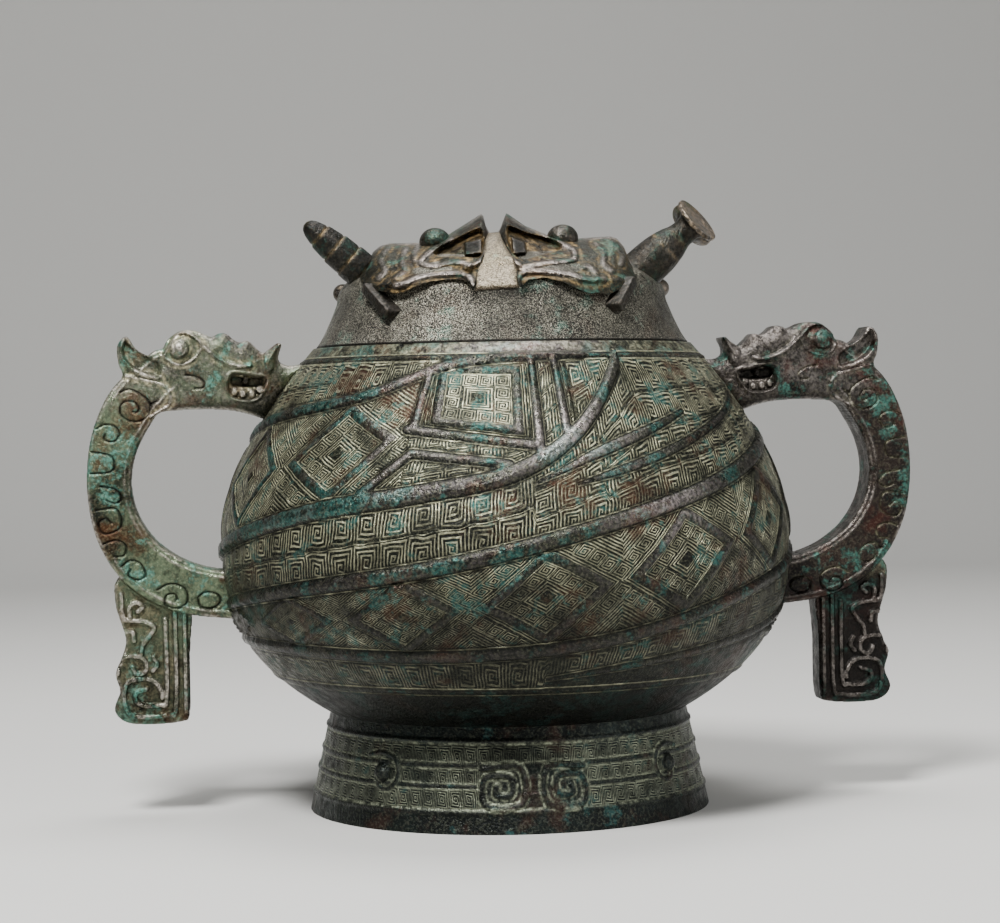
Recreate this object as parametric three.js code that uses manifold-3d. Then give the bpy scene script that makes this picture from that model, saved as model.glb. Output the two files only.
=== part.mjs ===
// Lidded bronze food vessel: a round bowl on a ring foot with two dragon-head loop handles,
// cast as one, and a lifting lid on which two horned dragon heads face each other.
// Millimetres, +Z up, origin under the middle of the foot; the handles lie along X.
import * as THREE from 'three';
import Module from 'manifold-3d';
import { mergeVertices } from 'three/addons/utils/BufferGeometryUtils.js';
import { ConvexGeometry } from 'three/addons/geometries/ConvexGeometry.js';

const wasm = await Module();
wasm.setup();

// Bowl and foot
const FOOT_HEIGHT = 46;
const FOOT_RADIUS = 94;
const FOOT_WALL = 4.5;
const NECK_RADIUS = 84;
const BELLY_RADIUS = 133.5;
const BELLY_HEIGHT = 126;
const RIM_RADIUS = 89;
const SHOULDER_HEIGHT = 90;
const WALL = 4;
const BOTTOM_SAG = 16;
const LOWER_FULLNESS = 2.8;
const UPPER_FULLNESS = 1.75;
const COLUMNS = 40;

// Raised bands that wind round the belly
const RIDGE_RISE = 0.26;
const RIDGE_CREST = 0.55;
const PATTERN_TURN = 7;
const RIDGE_CLEARANCE = 1.6;

// Lozenges between the winding bands
const FRAME_OUTER = 0.96;
const FRAME_INNER = 0.6;
const FRAME_RISE = 1.2;
const CARVING_ROOT = 2.5;

// Foot carving
const EYE_BOSS_RADIUS = 4;
const SCROLL_WIDTH = 19;
const SCROLL_BAR = 3.4;
const SCROLL_RISE = 1;

// Handles
const HANDLE_REACH = 62;
const HANDLE_DROP = 83;
const HANDLE_HEIGHT = 183;
const HANDLE_THICKNESS = 21;
const PENDANT_THICKNESS = 15;
const HEAD_WIDTH = 25;
const HANDLE_CARVING = 1.1;

// Lid
const LID_GAP = 0.3;
const LID_RADIUS = 88;
const LID_HEIGHT = 49.5;
const LID_WALL = 3.2;
const LID_TURN = -7;
const LID_COLUMNS = 36;
const FLANGE_DEPTH = 12;
const FLANGE_WALL = 3;
const FLANGE_CLEARANCE = 1;

// Dragons on the lid
const DRAGON_LENGTH = 88;
const DRAGON_HEIGHT = 62;
const LIP_RISE = 4.5;
const LIP_WIDTH = 4;
const EAR_RISE = 6;
const BRIDGE_WIDTH = 28;
const LID_EYE_RADIUS = 6.4;
const HORN_LENGTH = 42;
const HORN_RADIUS = 9.3;
const HORN_SIDES = 7;
const HORN_RINGS = 5;
const HORN_DISC_RADIUS = 11.8;
const HORN_ROOT = 10;

const RAD = Math.PI / 180;
const RIM_HEIGHT = BELLY_HEIGHT + SHOULDER_HEIGHT;
const BELLY_SPAN = RIM_HEIGHT - FOOT_HEIGHT;
const HANDLE_LOW = BELLY_HEIGHT - HANDLE_DROP;
const LID_SEAT = RIM_HEIGHT + LID_GAP;

// Smooth curve through a few points [x, y], straight on past its ends.
function smoothAt(points, x) {
  const last = points.length - 2;
  let i = 0;
  while (i < last && x > points[i + 1][0]) i += 1;
  const [x0, y0] = points[i];
  const [x1, y1] = points[i + 1];
  const chord = (y1 - y0) / (x1 - x0);
  const before = i > 0 ? (y1 - points[i - 1][1]) / (x1 - points[i - 1][0]) : chord;
  const after = i < last ? (points[i + 2][1] - y0) / (points[i + 2][0] - x0) : chord;
  const t = (x - x0) / (x1 - x0);
  const u = 1 - t;
  const bend = u * (before - chord) - t * (after - chord);
  return y0 + (y1 - y0) * t + t * u * (x1 - x0) * bend;
}

// Outer radius of foot and bowl at a height.
function bodyRadius(z) {
  if (z <= FOOT_HEIGHT) {
    return NECK_RADIUS + (FOOT_RADIUS - NECK_RADIUS) * (1 - z / FOOT_HEIGHT);
  }
  if (z <= BELLY_HEIGHT) {
    const down = (BELLY_HEIGHT - z) / (BELLY_HEIGHT - FOOT_HEIGHT);
    return NECK_RADIUS + (BELLY_RADIUS - NECK_RADIUS) * (1 - down ** LOWER_FULLNESS);
  }
  const up = (z - BELLY_HEIGHT) / (RIM_HEIGHT - BELLY_HEIGHT);
  return RIM_RADIUS + (BELLY_RADIUS - RIM_RADIUS) * (1 - up ** UPPER_FULLNESS);
}

// Point of the bowl's profile raised along its normal: [radius, height].
function raised(z, rise) {
  const step = 0.5;
  const slope = (bodyRadius(z + step) - bodyRadius(z - step)) / (2 * step);
  const length = Math.hypot(1, slope);
  return [bodyRadius(z) + rise / length, z - rise * slope / length];
}

// Place on a round at an angle from the front (degrees), radius and height.
function onRound(angle, radius, z) {
  return new THREE.Vector3(radius * Math.sin(angle * RAD), -radius * Math.cos(angle * RAD), z);
}

// A closed triangle mesh as a solid.
function solidOf(vertices, triangles) {
  return new wasm.Manifold(new wasm.Mesh({
    numProp: 3,
    vertProperties: new Float32Array(vertices),
    triVerts: new Uint32Array(triangles),
  }));
}

// A three.js geometry as a solid, without the empty triangles at an axis.
function toSolid(geometry) {
  const bare = geometry.clone();
  bare.deleteAttribute('normal');
  bare.deleteAttribute('uv');
  const merged = mergeVertices(bare, 1e-4);
  const index = merged.index.array;
  const triangles = [];
  for (let i = 0; i < index.length; i += 3) {
    const [a, b, c] = [index[i], index[i + 1], index[i + 2]];
    if (a !== b && b !== c && c !== a) triangles.push(a, b, c);
  }
  return solidOf(merged.attributes.position.array, triangles);
}

// A solid back as a three.js mesh.
function toMesh(name, solid, material) {
  const made = solid.getMesh();
  const geometry = new THREE.BufferGeometry();
  geometry.setAttribute('position', new THREE.BufferAttribute(Float32Array.from(made.vertProperties), 3));
  geometry.setIndex(new THREE.BufferAttribute(Uint32Array.from(made.triVerts), 1));
  geometry.computeVertexNormals();
  const mesh = new THREE.Mesh(geometry, material);
  mesh.name = name;
  return mesh;
}

// Solid of revolution about Z from a profile of [radius, height] that starts and ends on the axis.
function revolved(profile, columns) {
  const points = profile.map(([r, z]) => new THREE.Vector2(r, z));
  const geometry = new THREE.LatheGeometry(points, columns);
  geometry.rotateX(Math.PI / 2);
  return toSolid(geometry);
}

// Round solid about its own axis, turned to point from one place towards another.
function turnedAlong(profile, sides, from, to) {
  const points = profile.map(([r, z]) => new THREE.Vector2(r, z));
  const geometry = new THREE.LatheGeometry(points, sides);
  const way = to.clone().sub(from).normalize();
  geometry.applyQuaternion(new THREE.Quaternion().setFromUnitVectors(new THREE.Vector3(0, 1, 0), way));
  geometry.translate(from.x, from.y, from.z);
  return toSolid(geometry);
}

// Convex solid round points [x, y, z]; a point off the middle plane is mirrored in Y.
function hull(points) {
  const all = [];
  for (const [x, y, z] of points) {
    all.push(new THREE.Vector3(x, y, z));
    if (y !== 0) all.push(new THREE.Vector3(x, -y, z));
  }
  return toSolid(new ConvexGeometry(all));
}

// Convex solid without the mirroring.
function plainHull(points) {
  return toSolid(new ConvexGeometry(points));
}

// Skin through rings of points, closed at both ends by a fan.
function loft(rings) {
  const count = rings[0].length;
  const vertices = rings.flat().flatMap((p) => [p.x, p.y, p.z]);
  const triangles = [];
  for (let i = 0; i + 1 < rings.length; i += 1) {
    for (let j = 0; j < count; j += 1) {
      const k = (j + 1) % count;
      const a = i * count + j;
      const b = i * count + k;
      triangles.push(a, b, b + count, a, b + count, a + count);
    }
  }
  const top = (rings.length - 1) * count;
  for (let j = 1; j + 1 < count; j += 1) {
    triangles.push(0, j + 1, j, top, top + j, top + j + 1);
  }
  const solid = solidOf(vertices, triangles);
  return solid.volume() > 0 ? solid : solidOf(vertices, triangles.reverse());
}

// Closed ring through sections of points, each joined to the next and the last to the first.
function ringThrough(sections) {
  const count = sections[0].length;
  const triangles = [];
  sections.forEach((section, i) => {
    const next = ((i + 1) % sections.length) * count;
    for (let j = 0; j < count; j += 1) {
      const k = (j + 1) % count;
      const [a, b] = [i * count + j, i * count + k];
      triangles.push(a, next + k, b, a, next + j, next + k);
    }
  });
  return solidOf(sections.flat().flatMap((p) => [p.x, p.y, p.z]), triangles);
}

// Bar of rectangular section through the handle's full width, along a path [x, z].
function bandAlong(path, width, depth) {
  const points = path.map(([x, z]) => new THREE.Vector3(x, 0, z));
  return loft(points.map((point, i) => {
    const ahead = points[Math.min(i + 1, points.length - 1)];
    const behind = points[Math.max(i - 1, 0)];
    const way = ahead.clone().sub(behind).normalize();
    const side = new THREE.Vector3(-way.z, 0, way.x).multiplyScalar(width / 2);
    const deep = new THREE.Vector3(0, depth / 2, 0);
    return [
      point.clone().add(side).add(deep),
      point.clone().sub(side).add(deep),
      point.clone().sub(side).sub(deep),
      point.clone().add(side).sub(deep),
    ];
  }));
}

// Flat plate with bevelled edges, drawn in the X-Z plane and centred on Y = 0.
function plate(outline, thickness, bevel) {
  const shape = new THREE.Shape(outline.map(([x, z]) => new THREE.Vector2(x, z)));
  const geometry = new THREE.ExtrudeGeometry(shape, {
    depth: thickness - 2 * bevel,
    bevelEnabled: true,
    bevelThickness: bevel,
    bevelSize: bevel,
    bevelOffset: -bevel,
    bevelSegments: 1,
  });
  geometry.translate(0, 0, bevel - thickness / 2);
  geometry.rotateX(Math.PI / 2);
  return toSolid(geometry);
}

// Ball with few faces.
function ball(x, y, z, radius, sides) {
  const geometry = new THREE.SphereGeometry(radius, sides, Math.ceil(sides / 2));
  geometry.translate(x, y, z);
  return toSolid(geometry);
}

function joined(solids) {
  return wasm.Manifold.union(solids);
}

// The winding bands: [angle in degrees, height in percent from neck to rim].
// Each starts low, climbs once round the belly and ends under the rim.
const LONG_BAND = {
  course: [[8, 14], [50, 20.6], [90, 28.5], [130, 36], [170, 44], [210, 57], [250, 70.5], [290, 80.5],
    [325, 86.5], [348, 94.5], [385, 96.5]],
  width: [[8, 0.6], [28, 2.6], [110, 5], [160, 6.5], [230, 6.5], [290, 5], [370, 3.2], [385, 1]],
};
const SWUNG_BAND = {
  course: [[-110, 19.4], [-65, 21.2], [-15, 20.4], [20, 24], [60, 36], [100, 45.6], [140, 57], [165, 62],
    [182, 66.6], [195, 76], [212, 96]],
  width: [[-110, 0.6], [-80, 4], [0, 5], [60, 5.5], [110, 7], [150, 8], [195, 7.5], [212, 4]],
};
const UPPER_SPUR = {
  course: [[6, 64], [20, 71.5], [45, 81.5]],
  width: [[6, 0.6], [22, 4.4], [45, 1.6]],
};
const LOWER_SPUR = {
  course: [[14, 63.5], [30, 69], [50, 76.5], [76, 86]],
  width: [[14, 0.6], [26, 3.4], [76, 1.6]],
};
const BANDS = [LONG_BAND, SWUNG_BAND, UPPER_SPUR, LOWER_SPUR];

function bandHeight(band, angle) {
  return FOOT_HEIGHT + BELLY_SPAN * smoothAt(band.course, angle) / 100;
}

// Where the bands, and their copies half a turn on, cross one upright line of the belly.
function crossings(angle) {
  const found = [];
  for (const [name, band] of BANDS.entries()) {
    const start = band.course[0][0];
    const end = band.course.at(-1)[0];
    for (let halfTurns = -3; halfTurns <= 3; halfTurns += 1) {
      const along = angle + 180 * halfTurns;
      if (along < start || along > end) continue;
      const width = smoothAt(band.width, along);
      found.push({
        key: `${name} ${halfTurns}`,
        z: bandHeight(band, along),
        width,
        rise: width * RIDGE_RISE,
      });
    }
  }
  return found.sort((a, b) => a.z - b.z);
}

// Heights of the plain profile points, closer together where it curves most.
function profileHeights() {
  const shares = [0.05, 0.12, 0.2, 0.3, 0.42, 0.54, 0.64, 0.73, 0.81, 0.89, 0.96];
  const belly = shares.map((share) => FOOT_HEIGHT + share * BELLY_SPAN);
  return [0, FOOT_HEIGHT, ...belly, RIM_HEIGHT];
}

// One upright line of the outside, bottom to top, with the bands standing on it.
function bodyColumn(angle) {
  const ridges = crossings(angle + PATTERN_TURN);
  const points = [];
  for (const z of profileHeights()) {
    const free = ridges.every((r) => Math.abs(z - r.z) > r.width / 2 + RIDGE_CLEARANCE);
    if (free) points.push({ z, place: onRound(angle, bodyRadius(z), z) });
  }
  for (const ridge of ridges) {
    const half = ridge.width / 2;
    const crest = half * RIDGE_CREST;
    const corners = [[-half, 0], [-crest, ridge.rise], [crest, ridge.rise], [half, 0]];
    for (const [corner, [offset, rise]] of corners.entries()) {
      const [radius, z] = raised(ridge.z + offset, rise);
      points.push({ z: ridge.z + offset, key: `${ridge.key} ${corner}`, place: onRound(angle, radius, z) });
    }
  }
  return points.sort((a, b) => a.z - b.z);
}

// Triangles between two neighbouring upright lines: bands join like with like, the rest by height.
function zipped(left, right, offsetLeft, offsetRight) {
  const triangles = [];
  const stops = [];
  left.forEach((point, i) => {
    const j = point.key ? right.findIndex((other) => other.key === point.key) : -1;
    if (j >= 0) stops.push([i, j]);
  });
  stops.push([left.length - 1, right.length - 1]);
  let [i, j] = [0, 0];
  for (const [stopI, stopJ] of stops) {
    while (i < stopI || j < stopJ) {
      const climbLeft = j >= stopJ || (i < stopI && left[i + 1].z <= right[j + 1].z);
      const third = climbLeft ? offsetLeft + i + 1 : offsetRight + j + 1;
      triangles.push(offsetLeft + i, offsetRight + j, third);
      if (climbLeft) i += 1;
      else j += 1;
    }
  }
  return triangles;
}

// Bowl and foot as one solid. The last upright line repeats the first, a full turn on.
function bodyOutside() {
  const columns = [];
  for (let i = 0; i <= COLUMNS; i += 1) {
    columns.push(bodyColumn(-180 + i * 360 / COLUMNS));
  }
  const offsets = [];
  let count = 0;
  for (const column of columns) {
    offsets.push(count);
    count += column.length;
  }
  const vertices = columns.flat().flatMap(({ place }) => [place.x, place.y, place.z]);
  const triangles = [];
  for (let i = 0; i < COLUMNS; i += 1) {
    triangles.push(...zipped(columns[i], columns[i + 1], offsets[i], offsets[i + 1]));
    triangles.push(count, offsets[i + 1], offsets[i]);
    triangles.push(count + 1, offsets[i + 1] - 1, offsets[i + 1] + columns[i + 1].length - 1);
  }
  vertices.push(0, 0, 0, 0, 0, RIM_HEIGHT);
  const geometry = new THREE.BufferGeometry();
  geometry.setAttribute('position', new THREE.Float32BufferAttribute(vertices, 3));
  geometry.setIndex(triangles);
  return toSolid(geometry);
}

// Height of the bowl's underside inside the foot.
function underside(radius) {
  return FOOT_HEIGHT - BOTTOM_SAG * (1 - (radius / NECK_RADIUS) ** 2);
}

// Inside of the bowl, one wall in from its outside, open above the rim.
function bowlInside() {
  const profile = [[0, underside(0) + WALL]];
  profile.push([NECK_RADIUS * 0.6, underside(NECK_RADIUS * 0.6) + WALL]);
  for (const share of [0.06, 0.2, 0.4, 0.6, 0.76, 0.9, 1]) {
    profile.push(raised(FOOT_HEIGHT + share * BELLY_SPAN, -WALL));
  }
  const mouth = mouthRadius();
  return revolved([...profile, [mouth, RIM_HEIGHT + WALL], [0, RIM_HEIGHT + WALL]], COLUMNS);
}

// Radius of the opening at the rim.
function mouthRadius() {
  return raised(RIM_HEIGHT, -WALL)[0];
}

function footInside() {
  const top = FOOT_HEIGHT * 0.94;
  const profile = [[0, -WALL], [FOOT_RADIUS - FOOT_WALL, -WALL], [FOOT_RADIUS - FOOT_WALL, 0]];
  const inner = bodyRadius(top) - FOOT_WALL;
  profile.push([inner, underside(inner)], [inner * 0.6, underside(inner * 0.6)], [0, underside(0)]);
  return revolved(profile, COLUMNS);
}

// Lozenge zone: above the swung band and below the long band's copy half a turn on.
const LOZENGE_ANGLES = [-46, -20, 7, 37, 64, 89, 114, 142, 177];
const LOZENGE_ENDS = [-60, 196];

function lozengeZone(angle) {
  return [bandHeight(SWUNG_BAND, angle), bandHeight(LONG_BAND, angle + 180)];
}

// Place in the lozenge zone: along in degrees, across from 0 at its foot to 1 at its top.
function inZone(angle, across, rise) {
  const [low, high] = lozengeZone(angle);
  const [radius, z] = raised(low + (high - low) * across, rise);
  return onRound(angle - PATTERN_TURN, radius, z);
}

// Raised frame of one lozenge, from its two side corners.
function lozenge(left, right) {
  const middle = (left + right) / 2;
  const half = (right - left) / 2;
  const cornerAt = (turn, size, rise) => {
    const side = Math.floor(turn);
    const along = [1, 0, -1, 0, 1];
    const across = [0, 1, 0, -1, 0];
    const part = turn - side;
    const x = along[side] * (1 - part) + along[side + 1] * part;
    const y = across[side] * (1 - part) + across[side + 1] * part;
    return inZone(middle + x * size * half, 0.5 + y * size / 2, rise);
  };
  const stations = [0, 0.5, 1, 1.5, 2, 2.5, 3, 3.5];
  const rings = stations.map((turn) => [
    cornerAt(turn, FRAME_INNER, -CARVING_ROOT),
    cornerAt(turn, FRAME_OUTER, -CARVING_ROOT),
    cornerAt(turn, (FRAME_OUTER + FRAME_INNER) / 2, FRAME_RISE),
  ]);
  return ringThrough(rings);
}

function lozenges() {
  const made = [];
  const borders = [LOZENGE_ENDS[0]];
  for (let i = 0; i + 1 < LOZENGE_ANGLES.length; i += 1) {
    borders.push((LOZENGE_ANGLES[i] + LOZENGE_ANGLES[i + 1]) / 2);
  }
  borders.push(LOZENGE_ENDS[1]);
  for (let i = 0; i + 1 < borders.length; i += 1) {
    const frame = lozenge(borders[i], borders[i + 1]);
    made.push(frame, frame.rotate([0, 0, 180]));
  }
  return made;
}

// Foot carving on each face: two square scrolls in the middle and two eyes.
function footCarving() {
  const made = [];
  const squareRing = (angle, z, width) => {
    const degrees = width / bodyRadius(z) / RAD;
    const at = (x, y, size, rise) => {
      const height = z + y * size * width / 2;
      return onRound(angle + x * size * degrees / 2, bodyRadius(height) + rise, height);
    };
    const inner = 1 - 2 * SCROLL_BAR / width;
    const corners = [[1, -1], [1, 1], [-1, 1], [-1, -1]];
    const rings = corners.map(([x, y]) => [
      at(x, y, inner, -CARVING_ROOT),
      at(x, y, 1, -CARVING_ROOT),
      at(x, y, 1, SCROLL_RISE),
      at(x, y, inner, SCROLL_RISE),
    ]);
    return ringThrough(rings);
  };
  const scrollHeight = FOOT_HEIGHT * 0.43;
  const eyeHeight = FOOT_HEIGHT * 0.54;
  for (const face of [0, 180]) {
    for (const angle of [-9, 9]) {
      made.push(squareRing(face + angle, scrollHeight, SCROLL_WIDTH));
    }
    for (const angle of [-47, 47]) {
      const at = onRound(face + angle, bodyRadius(eyeHeight) - EYE_BOSS_RADIUS * 0.6, eyeHeight);
      made.push(ball(at.x, at.y, at.z, EYE_BOSS_RADIUS, 6));
    }
  }
  return made;
}

// Place on a handle: percent of its reach past the belly, and of its height.
function handleX(u) {
  return BELLY_RADIUS + HANDLE_REACH * u / 100;
}

function handleZ(v) {
  return HANDLE_LOW + HANDLE_HEIGHT * v / 100;
}

function onHandle(points) {
  return points.map(([u, v]) => [handleX(u), handleZ(v)]);
}

// The loop: stations of [u, v, width in mm] from inside the head round to the belly.
function handleLoop() {
  const stations = [[40, 89, 22], [58, 83.5, 23], [68, 79, 23.6], [77.5, 72.1, 22], [82.3, 64.6, 20.8],
    [82, 57.2, 20.8], [76, 49.5, 22], [63, 42.3, 23.6], [44, 37, 24], [23, 34, 23], [4, 32.8, 22],
    [-15, 32.2, 22]];
  const middle = stations.map(([u, v]) => new THREE.Vector3(handleX(u), 0, handleZ(v)));
  const deep = HANDLE_THICKNESS / 2;
  const rings = stations.map((station, i) => {
    const wide = station[2] / 2;
    const ahead = middle[Math.min(i + 1, middle.length - 1)];
    const behind = middle[Math.max(i - 1, 0)];
    const way = ahead.clone().sub(behind).normalize();
    const side = new THREE.Vector3(-way.z, 0, way.x);
    const quarter = [[1, -0.5], [1, 0.5], [0.78, 1], [-0.78, 1]];
    const section = [...quarter, ...quarter.map(([s, d]) => [-s, -d])];
    return section.map(([s, d]) => middle[i].clone().addScaledVector(side, s * wide).setY(d * deep));
  });
  return loft(rings);
}

// The hanging plate under the loop, with its hooks raised on both faces.
function handlePendant() {
  const outline = onHandle([[25, 32], [26, 3], [33, 0.5], [60, 0], [75, 1], [82, 4], [77.5, 9], [80, 14],
    [76, 17.5], [72.5, 21.5], [76.5, 26.5], [79, 31], [78, 37], [55, 40]]);
  const deep = PENDANT_THICKNESS + 2 * HANDLE_CARVING;
  const upright = onHandle([[38, 31], [38, 3.5]]);
  const hook = onHandle([[50, 5], [50, 8.6], [66, 8.4], [69, 3.4], [60, 2], [36, 2]]);
  const curl = onHandle([[77, 11.4], [76, 15.6], [62, 15.6], [61, 12.2]]);
  const brow = onHandle([[74, 29], [72, 24.6], [57, 23], [54, 17.5]]);
  return [
    plate(outline, PENDANT_THICKNESS, 0.8),
    bandAlong(upright, 4, deep),
    bandAlong(hook, 3.6, deep),
    bandAlong(curl, 3.4, deep),
    bandAlong(brow, 3, deep),
  ];
}

// The dragon head at the top of the loop, biting the shoulder of the bowl.
function handleHead() {
  const at = (u, w, v) => [handleX(u), w * HEAD_WIDTH / 2, handleZ(v)];
  const skull = hull([at(52, 0.65, 93), at(53, 0.8, 86), at(40, 0.8, 80.5), at(43, 0.95, 88.5),
    at(27, 0.5, 99.6), at(14, 0.4, 99), at(28, 1, 95), at(20, 0.9, 80), at(4, 0.5, 97.5), at(4, 0.95, 92),
    at(-2, 0.85, 79.6)]);
  const muzzle = hull([at(4, 0.5, 97.5), at(4, 0.92, 92), at(-2, 0.85, 79.5), at(-25, 0.4, 96),
    at(-35, 0.45, 94), at(-38, 0.8, 89), at(-42, 0.65, 77), at(-62, 0.55, 89.5), at(-62, 0.5, 78)]);
  const mouth = (side) => plainHull([
    [-8, 84], [-16, 82], [-34, 82.5], [-36, 87], [-14, 88.6],
  ].flatMap(([u, v]) => [0.55, 1.2].map(
    (w) => new THREE.Vector3(handleX(u), side * w * HEAD_WIDTH / 2, handleZ(v)),
  )));
  const earRim = onHandle([[68, 97.5], [73.5, 94], [66, 88], [44, 88]]);
  const earBlade = onHandle([[68, 98], [74, 95.3], [73, 90], [42, 87], [46, 92.6], [56, 94.6]]);
  const brow = onHandle([[30, 99], [14, 96.2], [-4, 91.2], [-24, 90.4]]);
  const pieces = [
    skull,
    muzzle,
    plate(earBlade, HEAD_WIDTH * 0.7, 1.5),
    bandAlong(earRim, 4, HEAD_WIDTH),
    bandAlong(brow, 3, HEAD_WIDTH + HANDLE_CARVING),
    ball(handleX(-4), 0, handleZ(97.2), 4.6, 6),
    ball(handleX(-21), 0, handleZ(95.6), 4.4, 6),
    turnedAlong([[0, -3], [4.6, -3], [3, 8], [0, 13.5]], 6,
      new THREE.Vector3(handleX(-37), 0, handleZ(89)), new THREE.Vector3(handleX(-45), 0, handleZ(96))),
  ];
  for (const side of [-1, 1]) {
    pieces.push(ball(handleX(28), side * HEAD_WIDTH * 0.43, handleZ(95.6), 4.8, 8));
  }
  return joined(pieces).subtract(mouth(-1)).subtract(mouth(1)).add(toothRow());
}

// Row of teeth standing in the mouth on both sides.
function toothRow() {
  const teeth = [-14, -24].map((u) => turnedAlong(
    [[0, -2], [2.4, -2], [0, 6]],
    5,
    new THREE.Vector3(handleX(u), 0, handleZ(82.6)),
    new THREE.Vector3(handleX(u), 0, handleZ(90)),
  ));
  const made = [];
  for (const tooth of teeth) {
    for (const side of [-1, 1]) made.push(tooth.translate([0, side * HEAD_WIDTH * 0.33, 0]));
  }
  return joined(made);
}

function handle(turn) {
  return joined([handleLoop(), ...handlePendant(), handleHead()]).rotate([0, 0, turn]);
}

function vessel(material) {
  const outside = joined([bodyOutside(), ...lozenges(), ...footCarving(), handle(0), handle(180)]);
  const hollow = outside.subtract(bowlInside()).subtract(footInside());
  return toMesh('vessel', hollow, material);
}

// Radius of the lid's outside at a height above its seat.
function lidRadius(height) {
  const share = height / LID_HEIGHT;
  const flare = LID_RADIUS * (1 - 0.12 * Math.min(share / 0.45, 1) ** 0.75);
  const turn = Math.max(share - 0.45, 0) / 0.55;
  return flare * Math.sqrt(Math.max(1 - turn ** 2.3, 0));
}

function lidShell() {
  const shares = [0, 0.07, 0.22, 0.45, 0.64, 0.8, 0.93];
  const outer = shares.map((share) => [lidRadius(share * LID_HEIGHT), LID_SEAT + share * LID_HEIGHT]);
  return revolved([[0, LID_SEAT], ...outer, [0, LID_SEAT + LID_HEIGHT]], LID_COLUMNS);
}

function lidFlange() {
  const outer = mouthRadius() - FLANGE_CLEARANCE;
  return revolved([[0, LID_SEAT - FLANGE_DEPTH], [outer - 0.6, LID_SEAT - FLANGE_DEPTH],
    [outer, LID_SEAT - FLANGE_DEPTH + 2], [outer, LID_SEAT + 1], [0, LID_SEAT + 1]], LID_COLUMNS);
}

function lidInside() {
  const bore = mouthRadius() - FLANGE_CLEARANCE - FLANGE_WALL;
  const low = LID_SEAT - FLANGE_DEPTH - 1;
  const profile = [[0, low], [bore, low]];
  for (const share of [0.08, 0.4, 0.66, 0.88]) {
    const radius = Math.min(lidRadius(share * LID_HEIGHT) - LID_WALL * (1 + share), bore);
    profile.push([radius, LID_SEAT + share * (LID_HEIGHT - LID_WALL)]);
  }
  return revolved([...profile, [0, LID_SEAT + LID_HEIGHT - LID_WALL]], LID_COLUMNS);
}

// A dragon is drawn by shares of its length from the lid's middle outwards and of its height.
function away(share) {
  return DRAGON_LENGTH * share;
}

function above(share) {
  return LID_SEAT + DRAGON_HEIGHT * share;
}

// Place on the near flank of the lid, at a distance along the dragon and a height.
function onFlank(share, height, rise) {
  const x = away(share);
  const z = above(height);
  const radius = lidRadius(z - LID_SEAT) + rise;
  return new THREE.Vector3(x, -Math.sqrt(Math.max(radius ** 2 - x ** 2, 0)), z);
}

// Lip that stands off the flank along a course of [along, height, width share].
function lip(course, rise) {
  return loft(course.map(([share, height, width]) => {
    const half = LIP_WIDTH * width / 2 / DRAGON_HEIGHT;
    return [
      onFlank(share, height - half, -CARVING_ROOT * 2),
      onFlank(share, height + half, -CARVING_ROOT * 2),
      onFlank(share, height + half * 0.6, rise),
      onFlank(share, height - half * 0.8, rise),
    ];
  }));
}

function mirroredY(solid) {
  return [solid, solid.mirror([0, 1, 0])];
}

// Ribbed cone: rings that step in towards a blunt tip.
function coneProfile() {
  const profile = [[0, -HORN_ROOT], [HORN_RADIUS, -HORN_ROOT]];
  for (let i = 0; i < HORN_RINGS; i += 1) {
    const low = i / HORN_RINGS;
    const radius = HORN_RADIUS * (1 - 0.5 * low ** 1.3);
    profile.push([radius * 0.94, HORN_LENGTH * low * 0.9], [radius, HORN_LENGTH * (low * 0.9 + 0.1)]);
  }
  profile.push([HORN_RADIUS * 0.42, HORN_LENGTH * 0.95], [0, HORN_LENGTH]);
  return profile;
}

// Bottle: a swelling body, a narrow neck and a flat round cap.
function bottleProfile() {
  const length = HORN_LENGTH;
  return [[0, -HORN_ROOT], [HORN_RADIUS * 0.9, -HORN_ROOT], [HORN_RADIUS, length * 0.12],
    [HORN_RADIUS * 0.98, length * 0.45], [HORN_RADIUS * 0.66, length * 0.74],
    [HORN_RADIUS * 0.68, length * 0.84], [HORN_DISC_RADIUS, length * 0.94],
    [HORN_DISC_RADIUS * 0.96, length], [0, length]];
}

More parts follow.
